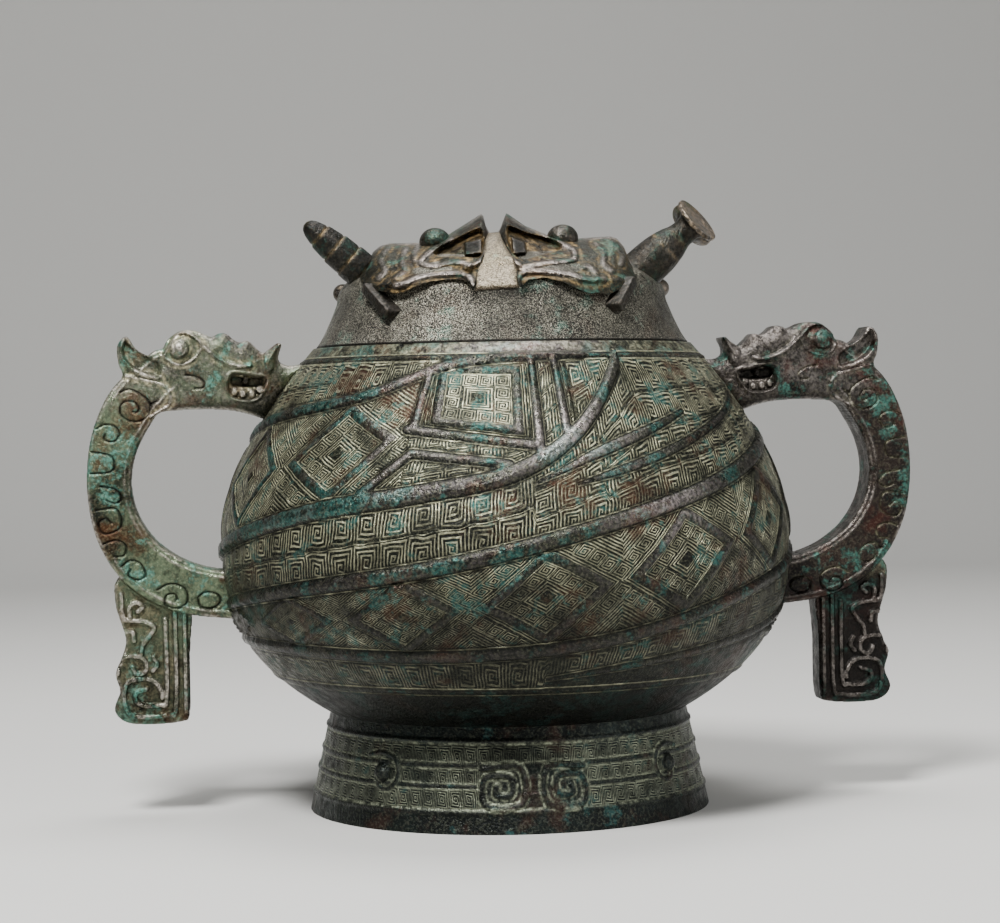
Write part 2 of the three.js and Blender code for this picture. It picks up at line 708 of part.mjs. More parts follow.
// One dragon head along +X: brow, beak, eyes, lips, ear bars, horns and a small curl behind.
function dragon(profile, hornTip) {
  const at = (along, w, height) => [away(along), w * LID_RADIUS, above(height)];
  const brow = hull([at(0.66, 0.14, 0.66), at(0.6, 0.12, 0.77), at(0.42, 0.12, 0.79), at(0.36, 0.2, 0.76),
    at(0.56, 0.44, 0.6), at(0.38, 0.5, 0.62), at(0.68, 0.3, 0.52)]);
  const beak = hull([at(0.42, 0.58, 0.56), at(0.4, 0.52, 0.67), at(0.36, 0.2, 0.8), at(0.085, 0.09, 1),
    at(0.05, 0.1, 0.85), at(0.06, 0.5, 0.72), at(0.12, 0.6, 0.6)]);
  const gape = plainHull([[0.35, 0.7], [0.08, 0.83], [0.085, 0.63]].flatMap(([along, height]) => (
    [0.5, 0.9].map((w) => new THREE.Vector3(away(along), -w * LID_RADIUS, above(height)))
  )));
  const lowerCourse = [[0.4, 0.63, 0.9], [0.33, 0.585, 1], [0.24, 0.61, 1], [0.15, 0.6, 0.9]];
  const lowerLip = lip(lowerCourse, LIP_RISE * 0.8);
  const jaw = lip([[0.5, 0.47, 1.2], [0.42, 0.51, 1.1], [0.3, 0.55, 1], [0.18, 0.54, 1], [0.13, 0.48, 0.9],
    [0.115, 0.42, 0.5]], LIP_RISE);
  const tusk = loft([[0.17, 0.6, 1], [0.1, 0.64, 0.8], [0.06, 0.72, 0.3]].map(([along, height, width]) => {
    const half = 2.2 * width;
    const middle = onFlank(along, height, 0);
    return [[half, half], [-half, half], [-half, -half], [half, -half]].map(
      ([x, z]) => new THREE.Vector3(middle.x + x * 0.5, middle.y - 3 * width + z * 0.6, middle.z + z),
    );
  }));
  const ear = plainHull([
    onFlank(0.72, 0.47, -4), onFlank(0.66, 0.5, -4), onFlank(0.58, 0.2, -4), onFlank(0.52, 0.23, -4),
    onFlank(0.72, 0.47, EAR_RISE), onFlank(0.66, 0.5, EAR_RISE),
    onFlank(0.57, 0.2, EAR_RISE), onFlank(0.52, 0.23, EAR_RISE),
  ]);
  const hornFoot = new THREE.Vector3(away(0.66), -away(0.24), above(0.5));
  const horn = turnedAlong(profile, HORN_SIDES, hornFoot, hornTip);
  const eye = ball(away(0.33), -away(0.26), above(0.78), LID_EYE_RADIUS, 8);
  const curl = turnedAlong([[0, -2.5], [4.5, -2.5], [4.5, 2.5], [0, 2.5]], 8,
    new THREE.Vector3(away(0.86), away(0.12), above(0.42)),
    new THREE.Vector3(away(0.86), away(0.3), above(0.42)));
  const paired = [lowerLip, jaw, tusk, ear, horn, eye].flatMap(mirroredY);
  const mouths = joined(mirroredY(gape));
  return joined([joined([brow, beak]).subtract(mouths), ...paired, curl]);
}

// Plain swelling between the two heads.
function bridge() {
  const at = (along, w, height) => [along * BRIDGE_WIDTH / 2, w * LID_RADIUS, above(height)];
  return hull([at(1, 0.66, 0.5), at(-1, 0.66, 0.5), at(0.93, 0.4, 0.76), at(-0.93, 0.4, 0.76),
    at(0.86, 0.1, 0.845), at(-0.86, 0.1, 0.845)]);
}

function lid(material) {
  const coneTip = new THREE.Vector3(away(1.02), -away(0.4), above(0.9));
  const bottleTip = new THREE.Vector3(away(1.04), -away(0.4), above(0.98));
  const left = dragon(coneProfile(), coneTip).rotate([0, 0, 180]);
  const right = dragon(bottleProfile(), bottleTip);
  const whole = joined([lidShell(), lidFlange(), bridge(), left, right]).subtract(lidInside());
  return toMesh('lid', whole.rotate([0, 0, LID_TURN]), material);
}

const agedBronze = new THREE.MeshStandardMaterial({ color: 0x4d5a4c, roughness: 0.62, metalness: 0.75 });
const lidBronze = new THREE.MeshStandardMaterial({ color: 0x5a5850, roughness: 0.58, metalness: 0.75 });

const gui = new THREE.Group();
gui.name = 'gui';
gui.add(vessel(agedBronze));
gui.add(lid(lidBronze));

export default gui;
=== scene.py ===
import bpy
import numpy as np
from mathutils import Matrix, Vector


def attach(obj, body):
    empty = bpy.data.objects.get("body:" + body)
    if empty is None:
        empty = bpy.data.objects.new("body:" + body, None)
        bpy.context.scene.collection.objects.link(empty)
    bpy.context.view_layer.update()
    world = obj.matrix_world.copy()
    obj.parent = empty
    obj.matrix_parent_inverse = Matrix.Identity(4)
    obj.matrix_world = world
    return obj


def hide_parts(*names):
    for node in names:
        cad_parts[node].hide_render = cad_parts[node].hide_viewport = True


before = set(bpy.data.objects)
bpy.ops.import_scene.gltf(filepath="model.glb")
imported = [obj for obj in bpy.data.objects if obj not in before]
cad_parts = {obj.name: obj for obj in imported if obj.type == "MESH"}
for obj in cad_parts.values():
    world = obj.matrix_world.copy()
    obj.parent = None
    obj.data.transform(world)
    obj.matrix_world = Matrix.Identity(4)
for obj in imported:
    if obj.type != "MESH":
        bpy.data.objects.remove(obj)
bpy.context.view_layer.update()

# Bowl: cast tin bronze, round-bellied, with a rim that turns in and two carved bands that wind up round it.
# It was cast in a clay mould whose sections carried the carving, so the bands and lozenges stand in relief
# and the finest lines were stamped between them.
MM = 0.001
FOOT_HEIGHT = 46.0
FOOT_RADIUS = 94.0
NECK_RADIUS = 84.0
BELLY_RADIUS = 133.5
BELLY_HEIGHT = 126.0
RIM_RADIUS = 89.0
RIM_HEIGHT = 216.0
LOWER_FULLNESS = 2.8
UPPER_FULLNESS = 1.75
BELLY_SPAN = RIM_HEIGHT - FOOT_HEIGHT
PATTERN_TURN = 7.0
RIDGE_RISE = 0.26
RIDGE_CREST = 0.68
LONG_BAND = (
    [(8, 14), (50, 20.6), (90, 28.5), (130, 36), (170, 44), (210, 57), (250, 70.5), (290, 80.5), (325, 86.5),
     (348, 94.5), (385, 96.5)],
    [(8, 0.6), (28, 2.6), (110, 5), (160, 6.5), (230, 6.5), (290, 5), (370, 3.2), (385, 1)],
)
SWUNG_BAND = (
    [(-110, 19.4), (-65, 21.2), (-15, 20.4), (20, 24), (60, 36), (100, 45.6), (140, 57), (165, 62),
     (182, 66.6), (195, 76), (212, 96)],
    [(-110, 0.6), (-80, 4), (0, 5), (60, 5.5), (110, 7), (150, 8), (195, 7.5), (212, 6.5)],
)
UPPER_SPUR = (
    [(6, 64), (20, 71.5), (45, 81.5)],
    [(6, 0.6), (22, 4.4), (45, 1.6)],
)
LOWER_SPUR = (
    [(14, 63.5), (30, 69), (50, 76.5), (76, 86)],
    [(14, 0.6), (26, 3.4), (76, 1.6)],
)
PANEL_LOW_LEFT, PANEL_LOW_RIGHT = (-17, 179.5), (6, 173)
PANEL_TOP = 207.0
PLAIN_BARS = (
    [(-29, 151), (-19, 168), (1, 163)],
    [(-21, 178.5), (6, 171)],
    [(-19.5, 180), (-18.5, 200)],
    [(7.5, 168), (7.5, 207)],
    [(13.5, 177), (13.5, 207)],
)
BAR_HALF = 1.7
DEGREE_MM = 2.0
# Square scrolls in tiles of 13 mm, their lines 1.6 mm apart; 15 nested lines in a lozenge are 1.5 mm apart.
ZONE_LOW, ZONE_HIGH = 65, 209
BORDER_LINES = (64.5, 209.5)
TILE_DEGREES = 5.6
TILE_HEIGHT = 13.5
PANEL_TILE_HEIGHT = 9
FRAME_AT = 0.78
LOZENGE_BORDERS = np.array([-110, -85, -60, -33, -6.5, 22, 50.5, 76.5, 101.5, 128, 159.5, 196])


def smooth_curve(points, x):
    """Curve through a few points: each stretch's chord, bent by t(1-t) times the slopes at its two ends."""
    kx, ky = np.array(points, dtype=float).T
    chords = np.diff(ky) / np.diff(kx)
    across = (ky[2:] - ky[:-2]) / (kx[2:] - kx[:-2])
    slopes = np.concatenate([chords[:1], across, chords[-1:]])
    i = np.clip(np.searchsorted(kx, x, side="left") - 1, 0, len(kx) - 2)
    t = (x - kx[i]) / (kx[i + 1] - kx[i])
    bend = (1 - t) * (slopes[i] - chords[i]) - t * (slopes[i + 1] - chords[i])
    return ky[i] + (ky[i + 1] - ky[i]) * t + t * (1 - t) * (kx[i + 1] - kx[i]) * bend


def soft_step(low, high, x):
    """0 below low, 1 above high, and 3t^2 - 2t^3 of the share t between them."""
    t = np.clip((x - low) / (high - low), 0, 1)
    return t * t * (3 - 2 * t)


def hill(x, middle, width, power=2):
    """1 at the middle and falling off to both sides: e to the minus (distance over width) to a power."""
    return np.exp(-((x - middle) / width) ** power)


def body_radius(z):
    """Outer radius: a straight flare on the foot, then two powers of the distance from the widest height."""
    foot = NECK_RADIUS + (FOOT_RADIUS - NECK_RADIUS) * (1 - z / FOOT_HEIGHT)
    down = np.clip((BELLY_HEIGHT - z) / (BELLY_HEIGHT - FOOT_HEIGHT), 0, 1)
    up = np.clip((z - BELLY_HEIGHT) / (RIM_HEIGHT - BELLY_HEIGHT), 0, 1.2)
    lower = NECK_RADIUS + (BELLY_RADIUS - NECK_RADIUS) * (1 - down ** LOWER_FULLNESS)
    upper = RIM_RADIUS + (BELLY_RADIUS - RIM_RADIUS) * (1 - up ** UPPER_FULLNESS)
    return np.where(z <= FOOT_HEIGHT, foot, np.where(z <= BELLY_HEIGHT, lower, upper))


def raised(z, rise):
    """Radius and height of the profile moved out along its normal by rise."""
    slope = body_radius(z + 0.5) - body_radius(z - 0.5)
    length = np.hypot(1, slope)
    return body_radius(z) + rise / length, z - rise * slope / length


def band_height(band, angle):
    """Height of a band's middle at an angle, from its course in percent of the belly."""
    return FOOT_HEIGHT + BELLY_SPAN * smooth_curve(band[0], angle) / 100


def path_distance(points, x, y):
    """Distance from each place to the nearest stretch of an open path."""
    nearest = np.full(np.shape(x), 1e6)
    for (ax, ay), (bx, by) in zip(points[:-1], points[1:]):
        dx, dy = bx - ax, by - ay
        share = np.clip(((x - ax) * dx + (y - ay) * dy) / (dx * dx + dy * dy), 0, 1)
        nearest = np.minimum(nearest, np.hypot(x - ax - share * dx, y - ay - share * dy))
    return nearest


def belly_carving(angle, z):
    """Relief of the belly and where its two kinds of fine carving lie.

    Bands: a bead that is soft_step of the share from edge to crest. Zones: the share across from the band
    below to the band above. Lozenges: |along| + |across| in a zone's own units. Returns the rise in mm, the
    crest share, and (along, across, amount) for the lozenges and for the square scrolls.
    """
    rise = np.zeros(z.shape)
    crest = np.zeros(z.shape)
    clear = np.full(z.shape, 20.0)
    for band in (LONG_BAND, SWUNG_BAND, UPPER_SPUR, LOWER_SPUR):
        for half_turns in range(-3, 4):
            along = angle + 180 * half_turns
            there = (along >= band[0][0][0]) & (along <= band[0][-1][0])
            half = np.where(there, smooth_curve(band[1], along) / 2, 1)
            away = np.abs(z - band_height(band, along))
            bead = soft_step(0, 1 - RIDGE_CREST, 1 - away / half)
            rise = np.where(there, np.maximum(rise, bead * 2 * half * RIDGE_RISE), rise)
            crest = np.where(there, np.maximum(crest, bead), crest)
            clear = np.where(there, np.minimum(clear, away - half), clear)
    lozenges = np.zeros(z.shape + (3,))
    squares = np.zeros(z.shape + (3,))
    for half_turns in range(-3, 4):
        along = angle + 180 * half_turns
        low = band_height(SWUNG_BAND, along)
        high = band_height(LONG_BAND, along + 180)
        across = (z - low) / np.maximum(high - low, 1)
        inside = (along > LOZENGE_BORDERS[0]) & (along < LOZENGE_BORDERS[-1]) & (across > 0) & (across < 1)
        place = np.interp(along, LOZENGE_BORDERS, np.arange(len(LOZENGE_BORDERS)))
        lozenges = np.where(inside[..., None], np.stack([place, 2 * across - 1, inside], axis=-1), lozenges)
        low = np.where(along >= 8, band_height(LONG_BAND, along), ZONE_LOW)
        high = np.where(along <= 212, band_height(SWUNG_BAND, along), ZONE_HIGH)
        gusset = (along > LOZENGE_BORDERS[-1]) & (along <= 212) & (z > high)
        low = np.where(gusset, high, low)
        high = np.where(gusset, ZONE_HIGH, high)
        inside = (along > -110) & (along < 385) & (z > low) & (z < high)
        rows = np.clip(np.round((high - low) / TILE_HEIGHT), 1, 4)
        across = rows * (z - low) / np.maximum(high - low, 1)
        place = along / TILE_DEGREES
        squares = np.where(inside[..., None], np.stack([place, across, inside], axis=-1), squares)
    front = (angle + 90) % 180 - 90
    panel_low = np.interp(front, *zip(PANEL_LOW_LEFT, PANEL_LOW_RIGHT))
    level = 2 * (z - panel_low) / (PANEL_TOP - panel_low) - 1
    sideways = 2 * (front - PANEL_LOW_LEFT[0]) / (PANEL_LOW_RIGHT[0] - PANEL_LOW_LEFT[0]) - 1
    above_band = z > band_height(SWUNG_BAND, front + 180)
    beside = (front > -20.5) & (front < 16) & above_band
    lozenges[..., 2] = np.where(beside, 0, lozenges[..., 2])
    lift = (z - band_height(SWUNG_BAND, front + 180)) / PANEL_TILE_HEIGHT
    tiles = np.stack([front / TILE_DEGREES, lift, beside], axis=-1)
    squares = np.where(beside[..., None], tiles, squares)
    panel = (np.abs(sideways) < 1) & (np.abs(level) < 1)
    diagonal = np.stack([0.5 + (sideways + level) / 4.002, (sideways - level) / 2, panel], axis=-1)
    lozenges = np.where(panel[..., None], diagonal, lozenges)
    squares[..., 2] = np.where(panel, 0, squares[..., 2])
    bars = np.min([
        path_distance([(x * DEGREE_MM, y) for x, y in bar], front * DEGREE_MM, z) for bar in PLAIN_BARS
    ], axis=0)
    clear = np.minimum(clear, bars - BAR_HALF)
    bar_top = soft_step(0, 0.7, BAR_HALF - bars)
    rise = np.maximum(rise, 0.9 * bar_top)
    crest = np.maximum(crest, bar_top)
    on_zone = soft_step(0.5, 1.5, clear) * soft_step(ZONE_LOW, ZONE_LOW + 1, z)
    on_zone = on_zone * (1 - soft_step(ZONE_HIGH - 1, ZONE_HIGH, z))
    lozenges[..., 2] *= on_zone
    squares[..., 2] *= on_zone * (1 - lozenges[..., 2])
    side = np.abs(2 * (lozenges[..., 0] % 1) - 1)
    out = side + np.abs(lozenges[..., 1])
    frame_bead = soft_step(0, 0.07, 0.12 - np.abs(out - FRAME_AT)) * lozenges[..., 2]
    boss = soft_step(0, 0.1, 0.16 - out) * lozenges[..., 2]
    tile_edge = np.abs(2 * (squares[..., 1] % 1) - 1)
    bar = soft_step(0.84, 0.93, tile_edge) * squares[..., 2]
    rise = rise + 1.1 * frame_bead + 0.9 * boss + 0.45 * bar
    crest = np.maximum(crest, 0.75 * frame_bead)
    gutter = hill(clear, 0.9, 0.7) * soft_step(60, 62, z)
    rise = rise - 0.5 * gutter
    for border in BORDER_LINES:
        rise = rise + 0.7 * hill(z, border, 0.8, 4)
        clear = np.minimum(clear, np.abs(z - border) - 0.9)
    squares[..., 2] *= 1 - bar
    fresh = 0.45 + 0.55 * soft_step(100, 128, z)
    lozenges[..., 2] *= fresh
    squares[..., 2] *= fresh
    return rise, crest, lozenges, squares, np.clip(clear, -3, 3)


def ring_faces(rows, columns):
    """Four-sided faces of a grid whose last column joins its first."""
    row = np.arange(rows - 1)[:, None] * columns
    here = np.arange(columns)[None, :]
    ahead = (here + 1) % columns
    faces = np.stack([row + here, row + ahead, row + columns + ahead, row + columns + here], axis=-1)
    return faces.reshape(-1, 4)


def pole_faces(ring_start, columns, pole, first):
    """Fan of triangles from a pole to the first or last ring of a grid."""
    here = ring_start + np.arange(columns)
    ahead = ring_start + (np.arange(columns) + 1) % columns
    tip = np.full(columns, pole)
    return np.stack([tip, ahead, here] if first else [tip, here, ahead], axis=-1)


def add_piece(name, points, faces, shading, sharp_over=60):
    """Object from points in mm and arrays of faces; shading holds three numbers a point by name."""
    mesh = bpy.data.meshes.new(name)
    mesh.vertices.add(len(points))
    mesh.vertices.foreach_set("co", (points * MM).astype(np.float32).ravel())
    corners = np.concatenate([group.ravel() for group in faces]).astype(np.int32)
    sizes = np.concatenate([np.full(len(group), group.shape[1]) for group in faces])
    mesh.loops.add(len(corners))
    mesh.loops.foreach_set("vertex_index", corners)
    mesh.polygons.add(len(sizes))
    mesh.polygons.foreach_set("loop_start", (np.cumsum(sizes) - sizes).astype(np.int32))
    mesh.update(calc_edges=True)
    mesh.validate()
    for key, values in shading.items():
        layer = mesh.attributes.new(key, "FLOAT_VECTOR", "POINT")
        layer.data.foreach_set("vector", values.astype(np.float32).ravel())
    mesh.shade_smooth()
    mesh.set_sharp_from_angle(angle=np.radians(sharp_over))
    piece = bpy.data.objects.new(name, mesh)
    bpy.context.scene.collection.objects.link(piece)
    return piece


def round_shell(angles, radius, z, relief_rows, relief):
    """Closed shell of revolution: rings of radius and z, poles at both ends, relief carried on some rows."""
    turn = np.radians(angles)[None, :]
    radius = np.repeat(radius[:, None], len(angles), axis=1)
    z = np.repeat(z[:, None], len(angles), axis=1)
    radius[relief_rows], z[relief_rows] = relief
    ring = np.stack([radius * np.sin(turn), -radius * np.cos(turn), z], axis=-1).reshape(-1, 3)
    poles = np.array([[0, 0, z[0, 0]], [0, 0, z[-1, 0]]])
    count = len(ring)
    faces = [
        ring_faces(len(z), len(angles)),
        pole_faces(0, len(angles), count, True),
        pole_faces(count - len(angles), len(angles), count + 1, False),
    ]
    return np.concatenate([ring, poles]), faces


def add_node(tree, kind, inputs=None, out=0, **settings):
    """Adds one node: settings are its properties, inputs its sockets as values or links.

    Returns the output with the number out, or all outputs for None.
    """
    made = tree.nodes.new("ShaderNode" + kind)
    for key, value in settings.items():
        setattr(made, key, value)
    for socket, value in (inputs or {}).items():
        if isinstance(value, bpy.types.NodeSocket):
            tree.links.new(value, made.inputs[socket])
        else:
            made.inputs[socket].default_value = value
    return made.outputs if out is None else made.outputs[out]


def linear(colour):
    """sRGB hex to linear colour: divide by 12.92 below 0.04045, else ((c + 0.055) / 1.055) ^ 2.4."""
    parts = np.array([int(colour[i:i + 2], 16) for i in (1, 3, 5)]) / 255
    parts = np.where(parts <= 0.04045, parts / 12.92, ((parts + 0.055) / 1.055) ** 2.4)
    return (*parts.tolist(), 1.0)


def scroll_lines(tree, along, across, turns):
    """Square scroll in each unit tile: sine of turns times the larger of |u| and |v|, less the angle."""
    sides = []
    for value in (along, across):
        share = add_node(tree, "Math", {0: value}, operation="FRACT")
        sides.append(add_node(tree, "Math", {0: share, 1: 2.0, 2: -1.0}, operation="MULTIPLY_ADD"))
    sizes = [add_node(tree, "Math", {0: side}, operation="ABSOLUTE") for side in sides]
    far = add_node(tree, "Math", {0: sizes[0], 1: sizes[1]}, operation="MAXIMUM")
    angle = add_node(tree, "Math", {0: sides[1], 1: sides[0]}, operation="ARCTAN2")
    phase = add_node(tree, "Math", {0: far, 1: turns * 2 * np.pi, 2: 0.0}, operation="MULTIPLY_ADD")
    phase = add_node(tree, "Math", {0: phase, 1: angle}, operation="SUBTRACT")
    wave = add_node(tree, "Math", {0: phase}, operation="SINE")
    return add_node(tree, "MapRange", {0: wave, 1: -0.1, 2: 0.65}, interpolation_type="SMOOTHSTEP")


def carved_lines(tree, wobble):
    """Fine carving: square scrolls in tiles, and lozenges of nested lines and slanted scrolls.

    The places are shifted by a share of the wobble, as hand-cut lines are never quite straight.
    """
    squares = add_node(tree, "Attribute", out=1, attribute_name="squares")
    *places, amount = add_node(tree, "SeparateXYZ", {0: squares}, out=None)
    places = [
        add_node(tree, "Math", {0: wobble, 1: 0.16, 2: place}, operation="MULTIPLY_ADD")
        for place in places
    ]
    lines = scroll_lines(tree, places[0], places[1], 4.0)
    lines = add_node(tree, "Math", {0: lines, 1: amount}, operation="MULTIPLY")
    lozenges = add_node(tree, "Attribute", out=1, attribute_name="lozenges")
    along, up, amount = add_node(tree, "SeparateXYZ", {0: lozenges}, out=None)
    share = add_node(tree, "Math", {0: along}, operation="FRACT")
    side = add_node(tree, "Math", {0: share, 1: 2.0, 2: -1.0}, operation="MULTIPLY_ADD")
    side = add_node(tree, "Math", {0: wobble, 1: 0.05, 2: side}, operation="MULTIPLY_ADD")
    plus = add_node(tree, "Math", {0: side, 1: up}, operation="ADD")
    minus = add_node(tree, "Math", {0: side, 1: up}, operation="SUBTRACT")
    sizes = [add_node(tree, "Math", {0: value}, operation="ABSOLUTE") for value in (plus, minus)]
    out = add_node(tree, "Math", {0: sizes[0], 1: sizes[1]}, operation="MAXIMUM")
    nested = add_node(tree, "Math", {0: out, 1: 15.0 * 2 * np.pi}, operation="MULTIPLY")
    nested = add_node(tree, "Math", {0: nested}, operation="SINE")
    nested = add_node(tree, "MapRange", {0: nested, 1: -0.1, 2: 0.65}, interpolation_type="SMOOTHSTEP")
    steps = [add_node(tree, "Math", {0: value, 1: 3.0}, operation="MULTIPLY") for value in (plus, minus)]
    slanted = scroll_lines(tree, steps[0], steps[1], 3.0)
    ring = add_node(tree, "Math", {0: out, 1: 3.0, 2: 0.0}, operation="MULTIPLY_ADD")
    ring = add_node(tree, "Math", {0: ring, 1: 2.0}, operation="MODULO")
    ring = add_node(tree, "Math", {0: ring, 1: 1.0}, operation="GREATER_THAN")
    mixed = add_node(tree, "Mix", {0: ring, 2: nested, 3: slanted}, data_type="FLOAT")
    gap = add_node(tree, "Math", {0: out, 1: FRAME_AT}, operation="SUBTRACT")
    gap = add_node(tree, "Math", {0: gap}, operation="ABSOLUTE")
    off_frame = add_node(tree, "MapRange", {0: gap, 1: 0.125, 2: 0.14})
    off_boss = add_node(tree, "MapRange", {0: out, 1: 0.13, 2: 0.15})
    mixed = add_node(tree, "Math", {0: mixed, 1: off_frame}, operation="MULTIPLY")
    mixed = add_node(tree, "Math", {0: mixed, 1: off_boss}, operation="MULTIPLY")
    border = add_node(tree, "Math", {0: gap, 1: 0.115}, operation="SUBTRACT")
    border = add_node(tree, "Math", {0: border}, operation="ABSOLUTE")
    border = add_node(tree, "MapRange", {0: border, 1: 0.016, 2: 0.006})
    mixed = add_node(tree, "Math", {0: mixed, 1: border}, operation="MAXIMUM")
    mixed = add_node(tree, "Math", {0: mixed, 1: amount}, operation="MULTIPLY")
    return add_node(tree, "Math", {0: lines, 1: mixed}, operation="MAXIMUM")


def aged_bronze(name, colours, blue_amount, polish_amount, earth_amount,
                lines=False, grain_share=0.15, grain_mm=1.2):
    """Buried bronze: dark oxide, green and blue carbonate patches, pale earth in the carving, rubbed crests.

    Colours are dark, body, pale, blue, rust, polish and groove. The attribute wear holds (crest, hollow,
    shade) for each point: crests are rubbed bright, hollows keep pale earth, and low shade mixes in the
    groove colour: 0 is a cut groove, and on some parts lower shade is painted shade in recesses, under
    parts and on sides away from the light. The attribute tint holds more blue, more polish, which on the
    bowl also paints highlights, and, on the bowl, how far a place is clear of the bands.
    Each noise is one over its blotch size in mm. Layers of share and colour are mixed from the metal up.
    """
    dark, body, pale, blue, rust, polish, groove = [linear(colour) for colour in colours]
    material = bpy.data.materials.new(name)
    material.use_nodes = True
    tree = material.node_tree
    tree.nodes.clear()
    place = add_node(tree, "TexCoord", out=3)
    wear = add_node(tree, "Attribute", out=1, attribute_name="wear")
    crest, hollow, shade = add_node(tree, "SeparateXYZ", {0: wear}, out=None)
    tint = add_node(tree, "Attribute", out=1, attribute_name="tint")
    more_blue, more_polish_and_highlight, clear = add_node(tree, "SeparateXYZ", {0: tint}, out=None)
    grain = {}
    for size_mm, detail in ((45, 6), (16, 7), (5, 5), (1.8, 4), (grain_mm, 3)):
        grain[size_mm] = add_node(tree, "TexNoise", {
            "Vector": place, "Scale": 1000 / size_mm, "Detail": float(detail), "Roughness": 0.62})
    broad = add_node(tree, "MapRange", {0: grain[45], 1: 0.42, 2: 0.58})
    speckle = add_node(tree, "MapRange", {0: grain[5], 1: 0.44, 2: 0.56})
    fine = add_node(tree, "MapRange", {0: grain[grain_mm], 1: 0.5, 2: 0.6})
    mottle = add_node(tree, "MapRange", {0: grain[1.8], 1: 0.42, 2: 0.56, 3: 0.25, 4: 1.0})
    spotted = add_node(tree, "Math", {0: speckle, 1: 0.65}, operation="MULTIPLY")
    layers = [(broad, body), (spotted, dark)]
    if lines:
        wobble = add_node(tree, "TexNoise", {"Vector": place, "Scale": 1000 / 8, "Detail": 1.0})
        carved = carved_lines(tree, wobble)
        border = add_node(tree, "Math", {0: clear, 1: 0.75}, operation="SUBTRACT")
        border = add_node(tree, "Math", {0: border}, operation="ABSOLUTE")
        border = add_node(tree, "MapRange", {0: border, 1: 0.42, 2: 0.2})
        carved = add_node(tree, "Math", {0: carved, 1: border}, operation="MAXIMUM")
        kept = add_node(tree, "MapRange", {0: grain[16], 1: 0.36, 2: 0.6, 3: 0.15, 4: 0.95})
        filled = add_node(tree, "Math", {0: carved, 1: kept}, operation="MULTIPLY")
        worn = add_node(tree, "Math", {0: speckle, 1: -0.5, 2: 1.0}, operation="MULTIPLY_ADD")
        filled = add_node(tree, "Math", {0: filled, 1: worn}, operation="MULTIPLY")
        layers.append((filled, pale))
    spots = add_node(tree, "TexNoise", {
        "Vector": place, "Scale": 1000 / 26, "Detail": 8.0, "Roughness": 0.7})
    spots = add_node(tree, "MapRange", {0: spots, 1: 0.54, 2: 0.64, 4: 0.7})
    earth = add_node(tree, "MapRange", {0: grain[5], 1: 0.38, 2: 0.62, 4: earth_amount})
    earth = add_node(tree, "Math", {0: hollow, 1: earth}, operation="MULTIPLY", use_clamp=True)
    earth = add_node(tree, "Math", {0: earth, 1: mottle}, operation="MULTIPLY")
    patch = add_node(tree, "Math", {0: crest, 1: 0.03, 2: grain[16]}, operation="MULTIPLY_ADD")
    patch = add_node(tree, "Math", {0: more_blue, 1: 0.16, 2: patch}, operation="MULTIPLY_ADD")
    patch = add_node(tree, "Math", {0: grain[5], 1: 0.55, 2: patch}, operation="MULTIPLY_ADD")
    edge = 0.95 - 0.14 * blue_amount
    patch = add_node(tree, "MapRange", {0: patch, 1: edge, 2: edge + 0.09, 4: 0.75})
    patch = add_node(tree, "Math", {0: patch, 1: mottle}, operation="MULTIPLY")
    rubbed = add_node(tree, "MapRange", {0: grain[16], 1: 0.58, 2: 0.44, 4: polish_amount})
    rubbed = add_node(tree, "Math", {0: rubbed, 1: crest}, operation="MULTIPLY")
    rubbed = add_node(tree, "Math", {0: more_polish_and_highlight, 1: 0.5, 2: rubbed}, operation="MULTIPLY_ADD")
    rubbed = add_node(tree, "Math", {0: rubbed, 1: mottle}, operation="MULTIPLY", use_clamp=True)
    # Groove colour for cut grooves and for painted shade.
    groove_and_painted_shade = add_node(tree, "MapRange", {0: shade, 3: 0.9, 4: 0.0})
    if lines:
        gutter = add_node(tree, "Math", {0: clear}, operation="ABSOLUTE")
        gutter = add_node(tree, "MapRange", {0: gutter, 1: 0.45, 2: 0.15, 4: 0.9})
        groove_and_painted_shade = add_node(tree, "Math", {0: groove_and_painted_shade, 1: gutter}, operation="MAXIMUM")
    pits = add_node(tree, "MapRange", {0: grain[grain_mm], 1: 0.5, 2: 0.43, 4: 0.8 * grain_share})
    freckle = add_node(tree, "Math", {0: fine, 1: grain_share}, operation="MULTIPLY")
    freckle = add_node(tree, "Math", {0: freckle, 1: grain[16]}, operation="MULTIPLY", use_clamp=True)
    freckle = add_node(tree, "Math", {0: freckle, 1: shade}, operation="MULTIPLY")
    layers += [(spots, rust), (earth, pale), (patch, blue), (rubbed, polish), (groove_and_painted_shade, groove), (pits, groove)]
    colour = dark
    for share, layer in [*layers, (freckle, pale)]:
        colour = add_node(tree, "Mix", {0: share, 6: colour, 7: layer}, out=2, data_type="RGBA")
    rough = add_node(tree, "MapRange", {0: grain[5], 1: 0.38, 2: 0.62, 3: 0.3, 4: 0.55})
    rough = add_node(tree, "Math", {0: crest, 1: -0.08, 2: rough}, operation="MULTIPLY_ADD")
    height = add_node(tree, "Math", {0: grain[grain_mm], 1: 0.6, 2: grain[5]}, operation="MULTIPLY_ADD")
    normal = add_node(tree, "Bump", {"Height": height, "Strength": 0.8, "Distance": 0.0009})
    if lines:
        normal = add_node(tree, "Bump", {
            "Height": carved, "Strength": 1.0, "Distance": 0.0006, "Normal": normal})
    shader = add_node(tree, "BsdfPrincipled", {
        "Base Color": colour, "Roughness": rough, "Metallic": 0.75, "Normal": normal})
    add_node(tree, "OutputMaterial", {0: shader}, out=None)
    return material


